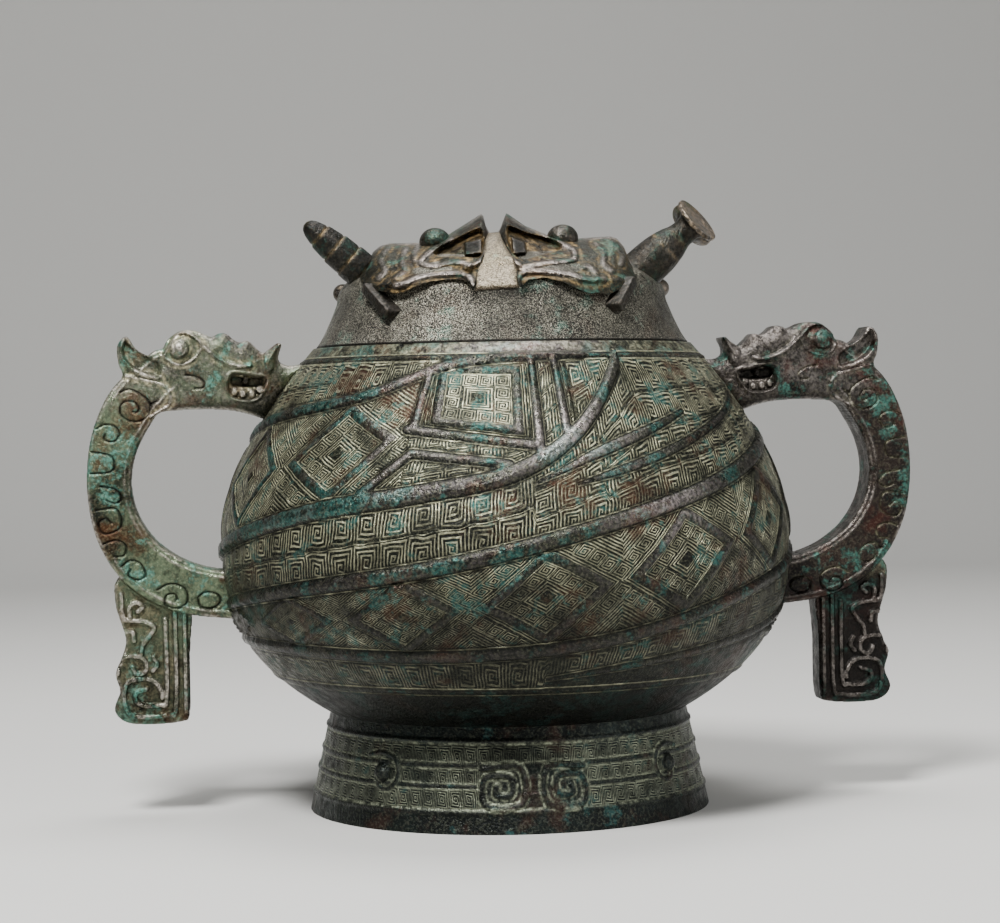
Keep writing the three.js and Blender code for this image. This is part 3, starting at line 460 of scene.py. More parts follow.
BOWL_COLUMNS = 600
BOWL_ROWS = 138
WALL = 4.0
BOTTOM_SAG = 16.0
bowl_angles = np.linspace(-180, 180, BOWL_COLUMNS, endpoint=False)
fine_z = np.linspace(FOOT_HEIGHT, RIM_HEIGHT, 2000)
run = np.concatenate([[0], np.cumsum(np.hypot(np.diff(fine_z), np.diff(body_radius(fine_z))))])
outer_z = np.interp(np.linspace(0, run[-1], BOWL_ROWS), run, fine_z)
under_r = np.array([8.0, 40.0, 70.0, 80.0])
under_z = FOOT_HEIGHT - BOTTOM_SAG * (1 - (under_r / NECK_RADIUS) ** 2)
inner_shares = np.array([1.0, 0.9, 0.76, 0.6, 0.45, 0.3, 0.15, 0.06])
inner_r, inner_z = raised(FOOT_HEIGHT + BELLY_SPAN * inner_shares, -WALL)
inner_z[0] = RIM_HEIGHT
bottom_r = np.array([60.0, 30.0, 8.0])
bottom_z = FOOT_HEIGHT - BOTTOM_SAG * (1 - (bottom_r / NECK_RADIUS) ** 2) + WALL
bowl_r = np.concatenate([under_r, body_radius(outer_z), inner_r, bottom_r])
bowl_z = np.concatenate([under_z, outer_z, inner_z, bottom_z])
spread_angles, spread_z = np.broadcast_arrays(bowl_angles[None, :] + PATTERN_TURN, outer_z[:, None])
bowl_rise, bowl_crest, bowl_lozenges, bowl_squares, bowl_clear = belly_carving(spread_angles, spread_z)
edge_fade = soft_step(47, 50, spread_z) * (1 - soft_step(214.5, 216, spread_z))
carved_rows = slice(len(under_r), len(under_r) + BOWL_ROWS)
bowl_points, bowl_faces = round_shell(
    bowl_angles, bowl_r, bowl_z, carved_rows, raised(spread_z, bowl_rise * edge_fade))


def on_all_rows(values, rows, carved, columns):
    """Three numbers a point for the carved rows, and zeros for the others and for the two poles."""
    full = np.zeros((rows, columns, 3))
    full[carved] = values
    return np.concatenate([full.reshape(-1, 3), np.zeros((2, 3))])


# Dark in the cut gutter and in the plain band below the carving; painted shade darkens the belly further
# towards the bottom, where less light falls.
bowl_shade = soft_step(-0.5, 0, bowl_rise) * (0.25 + 0.75 * soft_step(58, 68, spread_z))
bowl_shade = bowl_shade * (0.4 + 0.6 * soft_step(80, 150, spread_z))
bowl_hollow = 0.4 * soft_step(210, 211, spread_z)
bowl_wear = np.stack([bowl_crest, bowl_hollow, bowl_shade], axis=-1)
face_angle = (spread_angles + 90) % 180 - 90
bluer = bowl_crest * hill(face_angle, -45, 20) * soft_step(112, 122, spread_z)
bluer = bluer + 0.35 * hill(face_angle, -10, 16) * hill(spread_z, 108, 12)
bluer = bluer + 0.3 * soft_step(209, 211, spread_z) + 0.25 * soft_step(66, 62, spread_z)
# Polish on rubbed ridges, laid in a few places as painted highlights on the bands, the bars and the rim.
polish_and_painted_highlight = bowl_crest * hill(spread_z, 174, 13) * hill(face_angle, 14, 10)
polish_and_painted_highlight = polish_and_painted_highlight + 0.3 * bowl_crest * hill(face_angle, -22, 7) * soft_step(145, 152, spread_z)
polish_and_painted_highlight = polish_and_painted_highlight + 0.7 * bowl_crest * hill(face_angle, 34, 10) * hill(spread_z, 140, 16)
polish_and_painted_highlight = polish_and_painted_highlight + 0.8 * soft_step(210, 211.5, spread_z) * hill(face_angle, 8, 18)
bowl_tint = np.stack([bluer, polish_and_painted_highlight, bowl_clear], axis=-1)
bowl_shading = {"wear": bowl_wear, "lozenges": bowl_lozenges, "squares": bowl_squares, "tint": bowl_tint}
bowl = add_piece("bowl", bowl_points, bowl_faces, {
    key: on_all_rows(values, len(bowl_z), carved_rows, BOWL_COLUMNS) for key, values in bowl_shading.items()
})
# Carved bronze under green patina: near-black grounds with pale earth in every cut line, so the carving
# reads as light lines, turquoise and rust in patches, and ridges rubbed to a dull pinkish grey, which in a
# few places also paints highlights.
BOWL_COLOURS = ("#080a06", "#20251b", "#d6d4b0", "#2f625c", "#442818", "#b8acaa", "#080a07")
carved_bronze = aged_bronze("carved_bronze_green_patina", BOWL_COLOURS, 0.85, 0.1, 1.0, lines=True)
bowl.data.materials.append(carved_bronze)
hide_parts("vessel")
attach(bowl, "root")

# Ring foot: a straight flared ring under the bowl, cast in one with it, with three tiers of small square
# scrolls between two thin borders and two large scrolls in the middle of each face.
FOOT_COLUMNS = 900
FOOT_ROWS = 72
FOOT_WALL = 4.5
MEAN_RADIUS = 90.0
SCROLL_ANGLE = 9.0
SCROLL_HEIGHT = 20.5
EYE_ANGLE = 47.0
EYE_HEIGHT = 25.0
TIER_BARS = (20.5, 29.5)
SCROLL = [
    (9, 8), (-8, 8.2), (-8.6, -7.4), (7.4, -8), (7.8, 3.6), (-3.4, 4), (-3.8, -3.4), (2.6, -3.6), (2.6, 0),
]
C_CURL = [(9, 7), (1, 8.5), (-7, 6), (-9.5, -1), (-6, -6.5), (0, -6.5), (2, -3)]


def smooth_path(points, closed=False):
    """Four places on each stretch of a Catmull-Rom curve through the points."""
    knots = np.array(points, dtype=float)
    if closed:
        before, after, beyond = np.roll(knots, 1, 0), np.roll(knots, -1, 0), np.roll(knots, -2, 0)
    else:
        padded = np.concatenate([[2 * knots[0] - knots[1]], knots, [2 * knots[-1] - knots[-2]]])
        before, knots, after, beyond = padded[:-3], padded[1:-2], padded[2:-1], padded[3:]
    t = np.arange(4)[None, :, None] / 4
    p0, p1, p2, p3 = (p[:, None, :] for p in (before, knots, after, beyond))
    curve = 0.5 * (2 * p1 + (p2 - p0) * t + (2 * p0 - 5 * p1 + 4 * p2 - p3) * t ** 2
                   + (3 * p1 - p0 - 3 * p2 + p3) * t ** 3)
    curve = curve.reshape(-1, knots.shape[1])
    return curve if closed else np.concatenate([curve, after[-1:]])


def curve_distance(points, x, y):
    """Distance from each place to the smooth path through the points."""
    return path_distance(smooth_path(points), x, y)


foot_angles = np.linspace(-180, 180, FOOT_COLUMNS, endpoint=False)
foot_z = np.linspace(0, FOOT_HEIGHT + 1, FOOT_ROWS)
wide, tall = np.broadcast_arrays(foot_angles[None, :], foot_z[:, None])
face = (wide + 90) % 180 - 90
around = np.radians(face) * MEAN_RADIUS
foot_rise = 0.8 * (hill(tall, 40, 0.9, 4) + hill(tall, 9.5, 0.9, 4))
field = soft_step(10.5, 11.5, tall) * (1 - soft_step(38, 39, tall))
free = np.ones(tall.shape)
earth_lines = np.zeros(tall.shape)
for side in (-1, 1):
    middle = side * np.radians(SCROLL_ANGLE) * MEAN_RADIUS
    scroll = curve_distance(SCROLL, side * (around - middle), tall - SCROLL_HEIGHT)
    foot_rise = foot_rise + 1.1 * soft_step(0, 0.6, 1.5 - scroll)
    earth_lines = earth_lines + hill(scroll, 1.75, 0.45)
    centre = side * np.radians(EYE_ANGLE) * MEAN_RADIUS
    boss = np.hypot(around - centre, tall - EYE_HEIGHT)
    foot_rise = foot_rise + 3.0 * np.sqrt(np.clip(1 - (boss / 4.2) ** 2, 0, 1))
    curl = curve_distance(C_CURL, side * (around - centre), tall - EYE_HEIGHT)
    foot_rise = foot_rise + 0.8 * soft_step(0, 0.5, 1.1 - curl)
    earth_lines = earth_lines + 0.8 * hill(curl, 1.4, 0.4)
    free = free * soft_step(4, 5, boss) * soft_step(1.2, 1.8, curl)
inner_block = (np.abs(around) < 24) & (np.abs(tall - SCROLL_HEIGHT) < 9.5)
free = np.where(inner_block, 0, free)
link = hill(tall, 24, 0.7, 4) + hill(tall, 17, 0.7, 4)
foot_rise = foot_rise + 0.7 * link * (np.abs(around) < 5.5)
tier_bars = sum(hill(tall, bar, 1.1, 4) for bar in TIER_BARS)
foot_rise = foot_rise + 0.7 * tier_bars * free * field
on_tiles = field * free * (1 - np.clip(tier_bars, 0, 1))
foot_squares = np.stack([around / 6.3, (tall - 11) / 9.2, on_tiles], axis=-1)
foot_crest = np.clip(foot_rise, 0, 1)
bar_edges = sum(hill(np.abs(tall - bar), 1.5, 0.4) for bar in TIER_BARS)
earth_lines = earth_lines + bar_edges * free * field
earth_lines = earth_lines + 0.9 * (hill(tall, 38.6, 0.5) + hill(tall, 10.8, 0.5))
foot_wear = np.stack([foot_crest * 0.5, np.clip(earth_lines, 0, 1), np.ones(tall.shape)], axis=-1)
wall_z = np.array([FOOT_HEIGHT + 1, FOOT_HEIGHT * 0.7, FOOT_HEIGHT * 0.35, 0.0])
wall_r = body_radius(np.minimum(wall_z, FOOT_HEIGHT)) - FOOT_WALL
ring_r = np.repeat(body_radius(np.minimum(foot_z, FOOT_HEIGHT))[:, None], FOOT_COLUMNS, axis=1) + foot_rise
ring_r = np.concatenate([ring_r, np.repeat(wall_r[:, None], FOOT_COLUMNS, axis=1)])
ring_z = np.concatenate([tall, np.repeat(wall_z[:, None], FOOT_COLUMNS, axis=1)])
turn = np.radians(foot_angles)[None, :]
foot_points = np.stack([ring_r * np.sin(turn), -ring_r * np.cos(turn), ring_z], axis=-1).reshape(-1, 3)
rows = len(ring_z)
around_faces = ring_faces(rows, FOOT_COLUMNS)
last = (rows - 1) * FOOT_COLUMNS + np.arange(FOOT_COLUMNS)
next_last = (rows - 1) * FOOT_COLUMNS + (np.arange(FOOT_COLUMNS) + 1) % FOOT_COLUMNS
first = np.arange(FOOT_COLUMNS)
next_first = (first + 1) % FOOT_COLUMNS
sole_faces = np.stack([last, next_last, next_first, first], axis=-1)


def padded_rows(values, rows):
    """Three numbers a point for the first rows of a ring, and zeros for the rows that follow."""
    full = np.zeros((rows,) + values.shape[1:])
    full[:len(values)] = values
    return full.reshape(-1, 3)


ring_foot = add_piece("ring_foot", foot_points, [around_faces, sole_faces], {
    "wear": padded_rows(foot_wear, rows),
    "squares": padded_rows(foot_squares, rows),
    "lozenges": padded_rows(np.zeros(foot_wear.shape), rows),
    "tint": padded_rows(np.broadcast_to((0.0, 0.0, 3.0), foot_wear.shape), rows),
})
# The same bronze on the foot, where blue-green patina lies over it: darker and cooler than the belly, with
# less pale earth left in the small scrolls.
FOOT_COLOURS = ("#070b0a", "#161f1d", "#9ea48c", "#264b49", "#33211a", "#77756e", "#070b0a")
foot_bronze = aged_bronze("carved_bronze_blue_green_patina", FOOT_COLOURS, 0.5, 0.15, 1.4, lines=True)
ring_foot.data.materials.append(foot_bronze)
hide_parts("vessel")
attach(ring_foot, "root")

# Handles: a flat-sided bronze loop on each side, cast on to the bowl, with a dragon head that bites the
# shoulder and a hooked plate hanging below. Both faces carry the same carving, so it is drawn once.
HANDLE_STEP = 0.47
LOOP_HALF = 10.5
HEAD_HALF = 12.0
PLATE_HALF = 7.2
LOOP = [
    (158.3, 205.9, 11), (169.5, 195.8, 11.5), (175.7, 187.6, 11.8), (181.6, 174.9, 11),
    (184.4, 161.2, 10.25), (184.2, 147.7, 10.25), (180.6, 133.6, 11), (172.6, 120.4, 11.8),
    (160.8, 110.7, 12), (147.8, 105.2, 11.5), (136, 103, 11), (124.2, 101.9, 11),
]
HEAD = [
    (162.2, 214.4), (159.5, 216.4), (156.5, 221.1), (151.1, 225), (144.2, 225.2), (138.8, 223),
    (136.1, 222.2), (133.5, 223.6), (129.6, 223.6), (126.6, 221.1), (123.5, 219.6), (119.7, 220.2),
    (116.6, 217.5), (112.8, 214.6), (109.7, 216.4), (105.9, 218.9), (104.2, 217.5), (105.5, 211.3),
    (101.3, 208.5), (89.8, 207), (82.1, 186.6), (101.3, 178.8), (110.5, 182.7), (122, 186.6), (131.9, 188.2),
    (143.4, 188.5), (152.6, 188.3), (160, 187.6), (165.4, 184.6), (172.5, 187), (177.9, 196), (179.1, 200.7),
    (177.6, 205.4), (179.3, 210.1), (179.9, 217.5), (178.1, 221.4), (175.6, 222.8), (174.1, 221.6),
    (171.4, 217.3), (166.4, 214.2),
]
SKULL = [
    (160, 218), (158.5, 212), (161, 205), (158.5, 201), (155, 196.5), (155, 191), (157.5, 186), (152.6, 184),
    (143.4, 184), (122, 182), (95, 176), (80, 190), (88, 212), (112, 222), (140, 230), (156, 227),
]
SOCKET = [
    (158.4, 214.4), (156.5, 211.3), (151.1, 209.3), (145, 211.7), (141.3, 217.1), (144.5, 222), (151, 224),
]
BROW = [
    (158, 219.6), (154.5, 223.4), (149.5, 224.3), (144.6, 222.6), (141.1, 218.7), (135.8, 213.6),
    (129.6, 209.9), (123.5, 208.1), (118.9, 208.5),
]
EAR_RIM = [(176.6, 221.6), (178.2, 216.4), (176.8, 211.7), (172.7, 207.4), (167.2, 204.8), (161.1, 203.4)]
EAR_HOLLOW = [*EAR_RIM, (160, 210), (168, 215.4), (173, 219)]
COLLAR = [
    (176, 204.6), (166.4, 202.3), (159.5, 200.3), (156.1, 196), (156.5, 191.3), (160.3, 188.4), (165, 185.6),
]
MOUTH = [
    (126.9, 205), (120.4, 204.6), (115.8, 203.4), (112, 203), (111.2, 201.5), (112.8, 197.6), (115.8, 193.6),
    (119.7, 192.5), (124.3, 192.9), (128.1, 194.4), (129.6, 197.6), (129.2, 201.5),
]
THROAT = [
    (127.7, 203.8), (120.4, 203.4), (113.5, 202.6), (113.5, 199.1), (118.9, 198.3), (125, 198.7),
    (128.1, 199.9),
]
SPIKE = [(112, 206.2), (112.8, 214.8), (105.9, 218.5), (104.5, 217.3), (105.9, 210.9), (108.9, 204.6)]
GROOVES = [
    [(179.1, 197.2), (174.9, 198.5), (170.3, 196.8), (166.4, 193.6), (164.9, 191.7), (162.2, 192.9)],
    [(164.9, 191.7), (166, 186.6), (170.3, 183.7), (175.2, 184.2), (178.7, 187), (178.7, 190.9), (176, 193),
     (172.2, 192.5), (170.3, 189.7), (171.4, 187.8), (173.3, 188.2)],
    [(190, 180.5), (186, 182.5), (181.5, 181.5), (179.5, 178), (182, 174.5), (186.5, 175.5), (186, 178)],
    [(193, 170), (184, 168.2), (182, 163.8), (184.4, 160.4), (193, 160)],
    [(189, 154), (182, 152.6), (179, 148.4), (182, 146), (186, 147.6)],
    [(191, 143), (181.5, 143.4), (179.6, 135.2), (187, 132), (190, 136.6), (186.6, 139.2), (183.8, 137)],
    [(187.5, 127.5), (182, 129), (177.5, 126.5), (178.5, 122), (183, 121.6)],
    [(179.6, 117), (175.5, 119.6), (170.6, 117.6), (168.8, 112.6), (172.4, 110.4), (176.6, 112.6),
     (175.6, 115.6)],
    [(163.5, 105.6), (157.5, 108.4), (150.8, 105.8), (150, 99.6), (155, 96.8), (160, 98.8), (159.4, 103),
     (155.6, 103.6), (154.4, 101)],
    [(145, 101.8), (141.5, 104), (136, 103), (134.6, 99.6), (138.4, 96.6), (143.8, 97.6), (145, 101.8)],
    [(149, 204.6), (144.4, 204), (140.4, 201.6), (140.8, 198.6), (144.6, 198.4)],
]
HANDLE_EYE = (151.5, 216.7)
EYE_BALL = 4.6
TEETH = ((126.4, 196.6), (122.6, 195.6), (118.4, 195.4), (114.8, 197.6), (121, 201.6))
MUZZLE_START = 124
LOOP_OUTSIDE = 183
PLATE = [
    (149, 104), (149.2, 75), (149.6, 48.5), (154, 43.9), (170.7, 43.1), (180, 44.8), (184.3, 50.3),
    (181.6, 58.5), (183.5, 66.6), (180.6, 74), (178.5, 82.3), (180.9, 91.5), (183, 99.7), (181.9, 110.7),
    (167.6, 116),
]
PLATE_BARS = [
    [(151.3, 101), (151.3, 48.5)],
    [(155.9, 100), (155.9, 52.9), (160.3, 47.3), (175.3, 47.3), (179.3, 52.3), (179.3, 60.4), (175.9, 63.8),
     (167.1, 63.8), (162.8, 59.1), (162.4, 55.4)],
    [(160.2, 92), (160.2, 55.5), (163.4, 52), (170.9, 51.9), (174.4, 54.4), (174.2, 58), (169.6, 59.4)],
    [(182.4, 67.3), (182.6, 72.4), (178.4, 75), (170.9, 73.9), (169.4, 68.5), (173.4, 66.4), (175.6, 69.8)],
    [(180.3, 104), (179.6, 93.5), (176.5, 91.6), (170.3, 91), (165.6, 88.5), (167.1, 84.8), (170.9, 80),
     (171.5, 76)],
    [(176.5, 92.9), (176.5, 97.9), (173.4, 99.8), (170.6, 97.9), (172.8, 95.6)],
    [(179, 86.6), (175.3, 86), (174.6, 82)],
    [(166.5, 68), (164.4, 71), (166, 74.4)],
]


def depth_inside(outline, x, y):
    """Distance inside a closed outline, negative outside: the nearest edge, signed by a ray's crossings."""
    closed = np.concatenate([outline, outline[:1]])
    inside = np.zeros(np.shape(x), dtype=bool)
    for (ax, ay), (bx, by) in zip(closed[:-1], closed[1:]):
        if ay != by:
            inside ^= ((ay > y) != (by > y)) & (x < ax + (y - ay) * (bx - ax) / (by - ay))
    return np.where(inside, 1, -1) * path_distance(closed, x, y)


def curve_depth(points, x, y):
    """Distance inside the smooth closed outline through the points, negative outside."""
    return depth_inside(smooth_path(points, closed=True), x, y)


def depth_in_tube(stations, x, y):
    """Half width along a path, less the distance from the path: positive inside."""
    deepest = np.full(np.shape(x), -1e6)
    for (ax, ay, aw), (bx, by, bw) in zip(stations[:-1], stations[1:]):
        dx, dy = bx - ax, by - ay
        share = np.clip(((x - ax) * dx + (y - ay) * dy) / (dx * dx + dy * dy), 0, 1)
        gap = np.hypot(x - ax - share * dx, y - ay - share * dy)
        deepest = np.maximum(deepest, aw + (bw - aw) * share - gap)
    return deepest


def rounded_edge(half, depth, edge):
    """Half thickness near an outline: half less edge times (1 - the quarter circle of depth over edge)."""
    share = np.clip(depth / edge, 0, 1)
    return half - edge * (1 - np.sqrt(np.clip(1 - (1 - share) ** 2, 0, 1)))


def handle_face(r, z):
    """Depth inside the handle's outline and half its thickness at each place, with its wear."""
    loop = depth_in_tube(smooth_path(LOOP), r, z)
    head = curve_depth(HEAD, r, z)
    plate = curve_depth(PLATE, r, z)
    depth = np.maximum(np.maximum(loop, head), plate)
    depth = np.minimum(depth, r - body_radius(z) + 2.6)
    skull = curve_depth(SKULL, r, z)
    on_head = soft_step(-0.5, 5, skull) * (head > -2)
    on_plate = soft_step(-0.6, 0.6, -loop) * (plate > -3) * (z < 112)
    muzzle = soft_step(0, 26, MUZZLE_START - r) * on_head
    half = LOOP_HALF + (HEAD_HALF - LOOP_HALF) * on_head - 4.2 * muzzle - (LOOP_HALF - PLATE_HALF) * on_plate
    half = rounded_edge(half, depth, 1.9 + 4.6 * on_head - 0.8 * on_plate)
    crest = np.zeros(r.shape)
    hollow = np.zeros(r.shape)
    shade = np.ones(r.shape)
    beads = [(BROW, 1.15, 1.8), (EAR_RIM, 1.3, 1.7), (COLLAR, 0.8, 0.7)]
    beads.append(([*SOCKET, SOCKET[0]], 0.7, 0.9))
    for path, width, rise in beads:
        away = curve_distance(path, r, z)
        bead = soft_step(0, width, width * 1.15 - away)
        half = half + rise * bead
        crest = np.maximum(crest, bead)
        hollow = np.maximum(hollow, hill(away, width * 1.9, 0.8))
    ear = soft_step(0, 2, curve_depth(EAR_HOLLOW, r, z))
    half = half - 2.6 * ear * (1 - np.clip(crest, 0, 1))
    eye = np.hypot(r - HANDLE_EYE[0], z - HANDLE_EYE[1])
    ball = np.sqrt(np.clip(1 - (eye / EYE_BALL) ** 2, 0, 1))
    half = half + 1.6 * soft_step(0, 4, 8 - eye) + 3.2 * ball - 0.5 * hill(eye, 2.6, 0.4)
    crest = np.maximum(crest, ball * 0.8)
    hollow = np.maximum(hollow, hill(eye, 5.4, 0.7))
    mouth = curve_depth(MOUTH, r, z)
    throat = curve_depth(THROAT, r, z)
    lip = hill(mouth, -0.7, 0.6)
    half = half + 0.7 * lip - 3.2 * soft_step(0, 0.9, mouth) - 3.4 * soft_step(0, 1.0, throat)
    for tooth_r, tooth_z in TEETH:
        tooth = np.hypot(r - tooth_r, (z - tooth_z) * 0.8)
        half = half + 2.4 * soft_step(0, 0.8, 1.9 - tooth)
        crest = np.maximum(crest, soft_step(0, 0.8, 1.9 - tooth))
    hollow = np.maximum(hollow, 0.8 * soft_step(0, 1, mouth))
    # Painted shade in the throat, deep in the open mouth.
    shade = np.minimum(shade, 1 - 0.8 * soft_step(0, 1, throat))
    spike = curve_depth(SPIKE, r, z)
    half = half + 1.3 * soft_step(0, 1.6, spike)
    bevel = hill(loop, 3.1, 0.55) * (1 - on_head) * (1 - on_plate) * (r < LOOP_OUTSIDE)
    half = half + 0.7 * bevel
    crest = np.maximum(crest, bevel * 0.7)
    for groove in GROOVES:
        away = curve_distance(groove, r, z)
        half = half - 0.95 * hill(away, 0, 0.5)
        shade = np.minimum(shade, 1 - hill(away, 0, 0.45))
    nearest_bar = np.min([curve_distance(bar, r, z) for bar in PLATE_BARS], axis=0)
    raised_bars = soft_step(0, 0.6, 1.35 - nearest_bar) * (plate > 0) * soft_step(-0.6, 0.6, -loop)
    half = half + 1.5 * raised_bars
    crest = np.maximum(crest, 0.8 * raised_bars)
    hollow = np.maximum(hollow, 0.5 * on_plate * (1 - raised_bars))
    # Painted shade on the plate's ground between the raised bars.
    shade = np.minimum(shade, 1 - 0.45 * on_plate * (1 - raised_bars))
    bar_foot = hill(nearest_bar, 1.5, 0.3) * (plate > 0) * (loop < 0)
    shade = np.minimum(shade, 1 - 0.6 * bar_foot)
    crest = np.maximum(crest, 0.8 * hill(depth, 0.6, 0.7))
    return depth, np.maximum(half, 1.5), np.stack([crest, hollow, shade], axis=-1)


def cast_both_ways(shape, low, high, step, wall_rows):
    """Closed shell of a flat casting drawn in two directions: its face at plus and minus the half thickness.

    Grid places just outside the outline are pulled on to it along the slope of the depth, the cells inside
    are kept, and a wall of straight rows joins the two faces all round. Returns points (along, deep, up).
    """
    x, z = np.meshgrid(np.arange(low[0], high[0], step), np.arange(low[1], high[1], step), indexing="ij")
    depth, half, wear = shape(x, z)
    slope_x, slope_z = np.gradient(depth, step)
    length = np.maximum(np.hypot(slope_x, slope_z), 0.3)
    pull = np.where(depth < 0, np.minimum(-depth, 1.5 * step), 0)
    x = x + pull * slope_x / length
    z = z + pull * slope_z / length
    _, half, wear = shape(x, z)
    corners = np.stack([depth[:-1, :-1], depth[1:, :-1], depth[1:, 1:], depth[:-1, 1:]])
    kept = (corners.mean(axis=0) > 0) & (corners.min(axis=0) > -1.2 * step)
    index = np.arange(x.size).reshape(x.shape)
    a, b, c, d = index[:-1, :-1][kept], index[1:, :-1][kept], index[1:, 1:][kept], index[:-1, 1:][kept]
    front = np.stack([a, b, c, d], axis=-1)
    back = front[:, ::-1] + x.size
    ring = np.zeros((kept.shape[0] + 2, kept.shape[1] + 2), dtype=bool)
    ring[1:-1, 1:-1] = kept
    here = ring[1:-1, 1:-1]
    around = [index[:-1, :-1], index[1:, :-1], index[1:, 1:], index[:-1, 1:]]
    beyond = [ring[1:-1, :-2], ring[2:, 1:-1], ring[1:-1, 2:], ring[:-2, 1:-1]]
    edges = np.concatenate([
        np.stack([around[side][here & ~beyond[side]], around[(side + 1) % 4][here & ~beyond[side]]], axis=-1)
        for side in range(4)
    ])
    rim, place = np.unique(edges, return_inverse=True)
    place = place.reshape(edges.shape)
    flat = [values.reshape(-1) for values in (x, half, z)]
    points = np.concatenate([
        np.stack([flat[0], -flat[1], flat[2]], axis=-1),
        np.stack([flat[0], flat[1], flat[2]], axis=-1),
    ])
    shares = np.arange(1, wall_rows)[:, None] / wall_rows * 2 - 1
    rows = np.stack([
        np.repeat(flat[0][rim][None, :], wall_rows - 1, 0),
        shares * flat[1][rim][None, :],
        np.repeat(flat[2][rim][None, :], wall_rows - 1, 0),
    ], axis=-1).reshape(-1, 3)
    levels = [rim]
    for level in range(wall_rows - 1):
        levels.append(2 * x.size + level * len(rim) + np.arange(len(rim)))
    levels.append(rim + x.size)
    walls = [
        np.stack([upper[place[:, 0]], lower[place[:, 0]], lower[place[:, 1]], upper[place[:, 1]]], axis=-1)
        for upper, lower in zip(levels[:-1], levels[1:])
    ]
    points = np.concatenate([points, rows])
    faces = np.concatenate([front, back, *walls])
    wear = wear.reshape(-1, 3)
    wall_wear = np.tile(wear[rim] * (0.35, 0.4, 1), (wall_rows - 1, 1))
    wear = np.concatenate([wear, wear, wall_wear])
    used, faces = np.unique(faces, return_inverse=True)
    return points[used], faces.reshape(-1, 4), wear[used]


# The right handle keeps pale earth in the lines of its loop, and painted shade darkens its hanging plate
# nearly to black.
face_points, face_faces, face_wear = cast_both_ways(handle_face, (92, 42), (196, 230), HANDLE_STEP, 12)
cut_and_shade = 1 - face_wear[:, 2]
on_loop = soft_step(100, 106, face_points[:, 2])
on_lines = cut_and_shade * on_loop * (face_points[:, 0] > 134)
on_head = soft_step(184, 196, face_points[:, 2])
face_wear[:, 0] = np.clip(face_wear[:, 0] + 0.2 * on_head, 0, 1)
# Right handle: the loop's lines turn to pale earth, and the plate below the loop takes painted shade.
right_wear = np.stack([
    np.clip(face_wear[:, 0] + 0.12 * on_head, 0, 1),
    np.clip(0.2 * face_wear[:, 1] * on_loop + 0.9 * on_lines, 0, 1),
    1 - (cut_and_shade - on_lines) * on_loop - (1 - on_loop) * (0.55 + 0.45 * cut_and_shade),
], axis=-1)
# Cast bronze of the left handle: smooth light green carbonate with turquoise spots and rubbed, creamy edges.
LEFT_COLOURS = ("#14180f", "#66745b", "#c9c096", "#5f9585", "#4f3019", "#d2cabd", "#0d0a06")
# Cast bronze of the right handle: bare red-brown to black oxide, turquoise only in spots, grey rubbed edges.
RIGHT_COLOURS = ("#0d0a09", "#2f2621", "#9a977c", "#3f6f64", "#3e1e17", "#c4bab2", "#080605")
left_bronze = aged_bronze("cast_bronze_light_green_patina", LEFT_COLOURS, 0.95, 0.75, 0.8)
right_bronze = aged_bronze("cast_bronze_red_brown_patina", RIGHT_COLOURS, 0.8, 0.55, 0.9)
HANDLES = (("handle_left", -1, left_bronze, face_wear), ("handle_right", 1, right_bronze, right_wear))
for name, side, finish, wear in HANDLES:
    placed = face_points * (side, side, 1)
    handle = add_piece(name, placed, [face_faces], {"wear": wear}, sharp_over=50)
    handle.data.materials.append(finish)
    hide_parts("vessel")
    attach(handle, "root")

# Lid: a low bronze dome with a flange that drops into the mouth, cast as a shell about 3 mm thick. It lies
# loose on the rim, turned a little against the handles.
LID_SEAT = 216.3
LID_RADIUS = 88.0
LID_TURN = np.radians(-7)
DOME_HEIGHT = 46.0
FLANGE_RADIUS = 83.6
FLANGE_DEPTH = 12.0
LID_COLUMNS = 300


def dome_radius(height):
    """Radius of the lid's outside: a flare that draws in by 12 percent, then a rounded top."""
    share = height / DOME_HEIGHT
    flare = LID_RADIUS * (1 - 0.12 * np.clip(share / 0.45, 0, 1) ** 0.75)
    return flare * np.sqrt(np.clip(1 - (np.clip(share - 0.45, 0, 1) / 0.55) ** 2.3, 0, 1))


def turned(points):
    """Points of the lid, drawn along its own dragons, turned to how it lies on the bowl."""
    x, y, z = points.T
    cos, sin = np.cos(LID_TURN), np.sin(LID_TURN)
    return np.stack([x * cos - y * sin, x * sin + y * cos, z], axis=-1)


shares = np.concatenate([
    [0, 0.012, 0.022, 0.05], np.linspace(0.1, 0.9, 30), 1 - np.geomspace(0.08, 0.0008, 12)])
dome_z = LID_SEAT + DOME_HEIGHT * shares
dome_r = dome_radius(DOME_HEIGHT * shares)
dome_r[0] -= 0.6
inside_shares = np.array([0.97, 0.85, 0.6, 0.35, 0.1])
inside_r = np.minimum(dome_radius(DOME_HEIGHT * inside_shares) - 5, FLANGE_RADIUS - 3)
inside_z = LID_SEAT + (DOME_HEIGHT - 3.2) * inside_shares
flange_r = FLANGE_RADIUS - np.array([3, 3, 0.5, 0, 0])
flange_z = LID_SEAT - np.array([0, FLANGE_DEPTH, FLANGE_DEPTH, FLANGE_DEPTH - 0.6, 0])
cover_r = np.concatenate([np.maximum(inside_r, 4), flange_r, dome_r])
cover_z = np.concatenate([inside_z, flange_z, dome_z])
lid_angles = np.linspace(-180, 180, LID_COLUMNS, endpoint=False)
dome_rows = slice(len(cover_z) - len(dome_z), len(cover_z))
plain = [np.repeat(values[:, None], LID_COLUMNS, axis=1) for values in (dome_r, dome_z)]
cover_points, cover_faces = round_shell(lid_angles, cover_r, cover_z, dome_rows, plain)
lid_wear = np.zeros((len(dome_z), LID_COLUMNS, 3))
lid_wear[..., 0] = (0.35 + 0.5 * hill(dome_z, LID_SEAT, 1.5))[:, None]
lid_wear[..., 1] = (0.5 * soft_step(LID_SEAT + 22, LID_SEAT + 34, dome_z))[:, None]
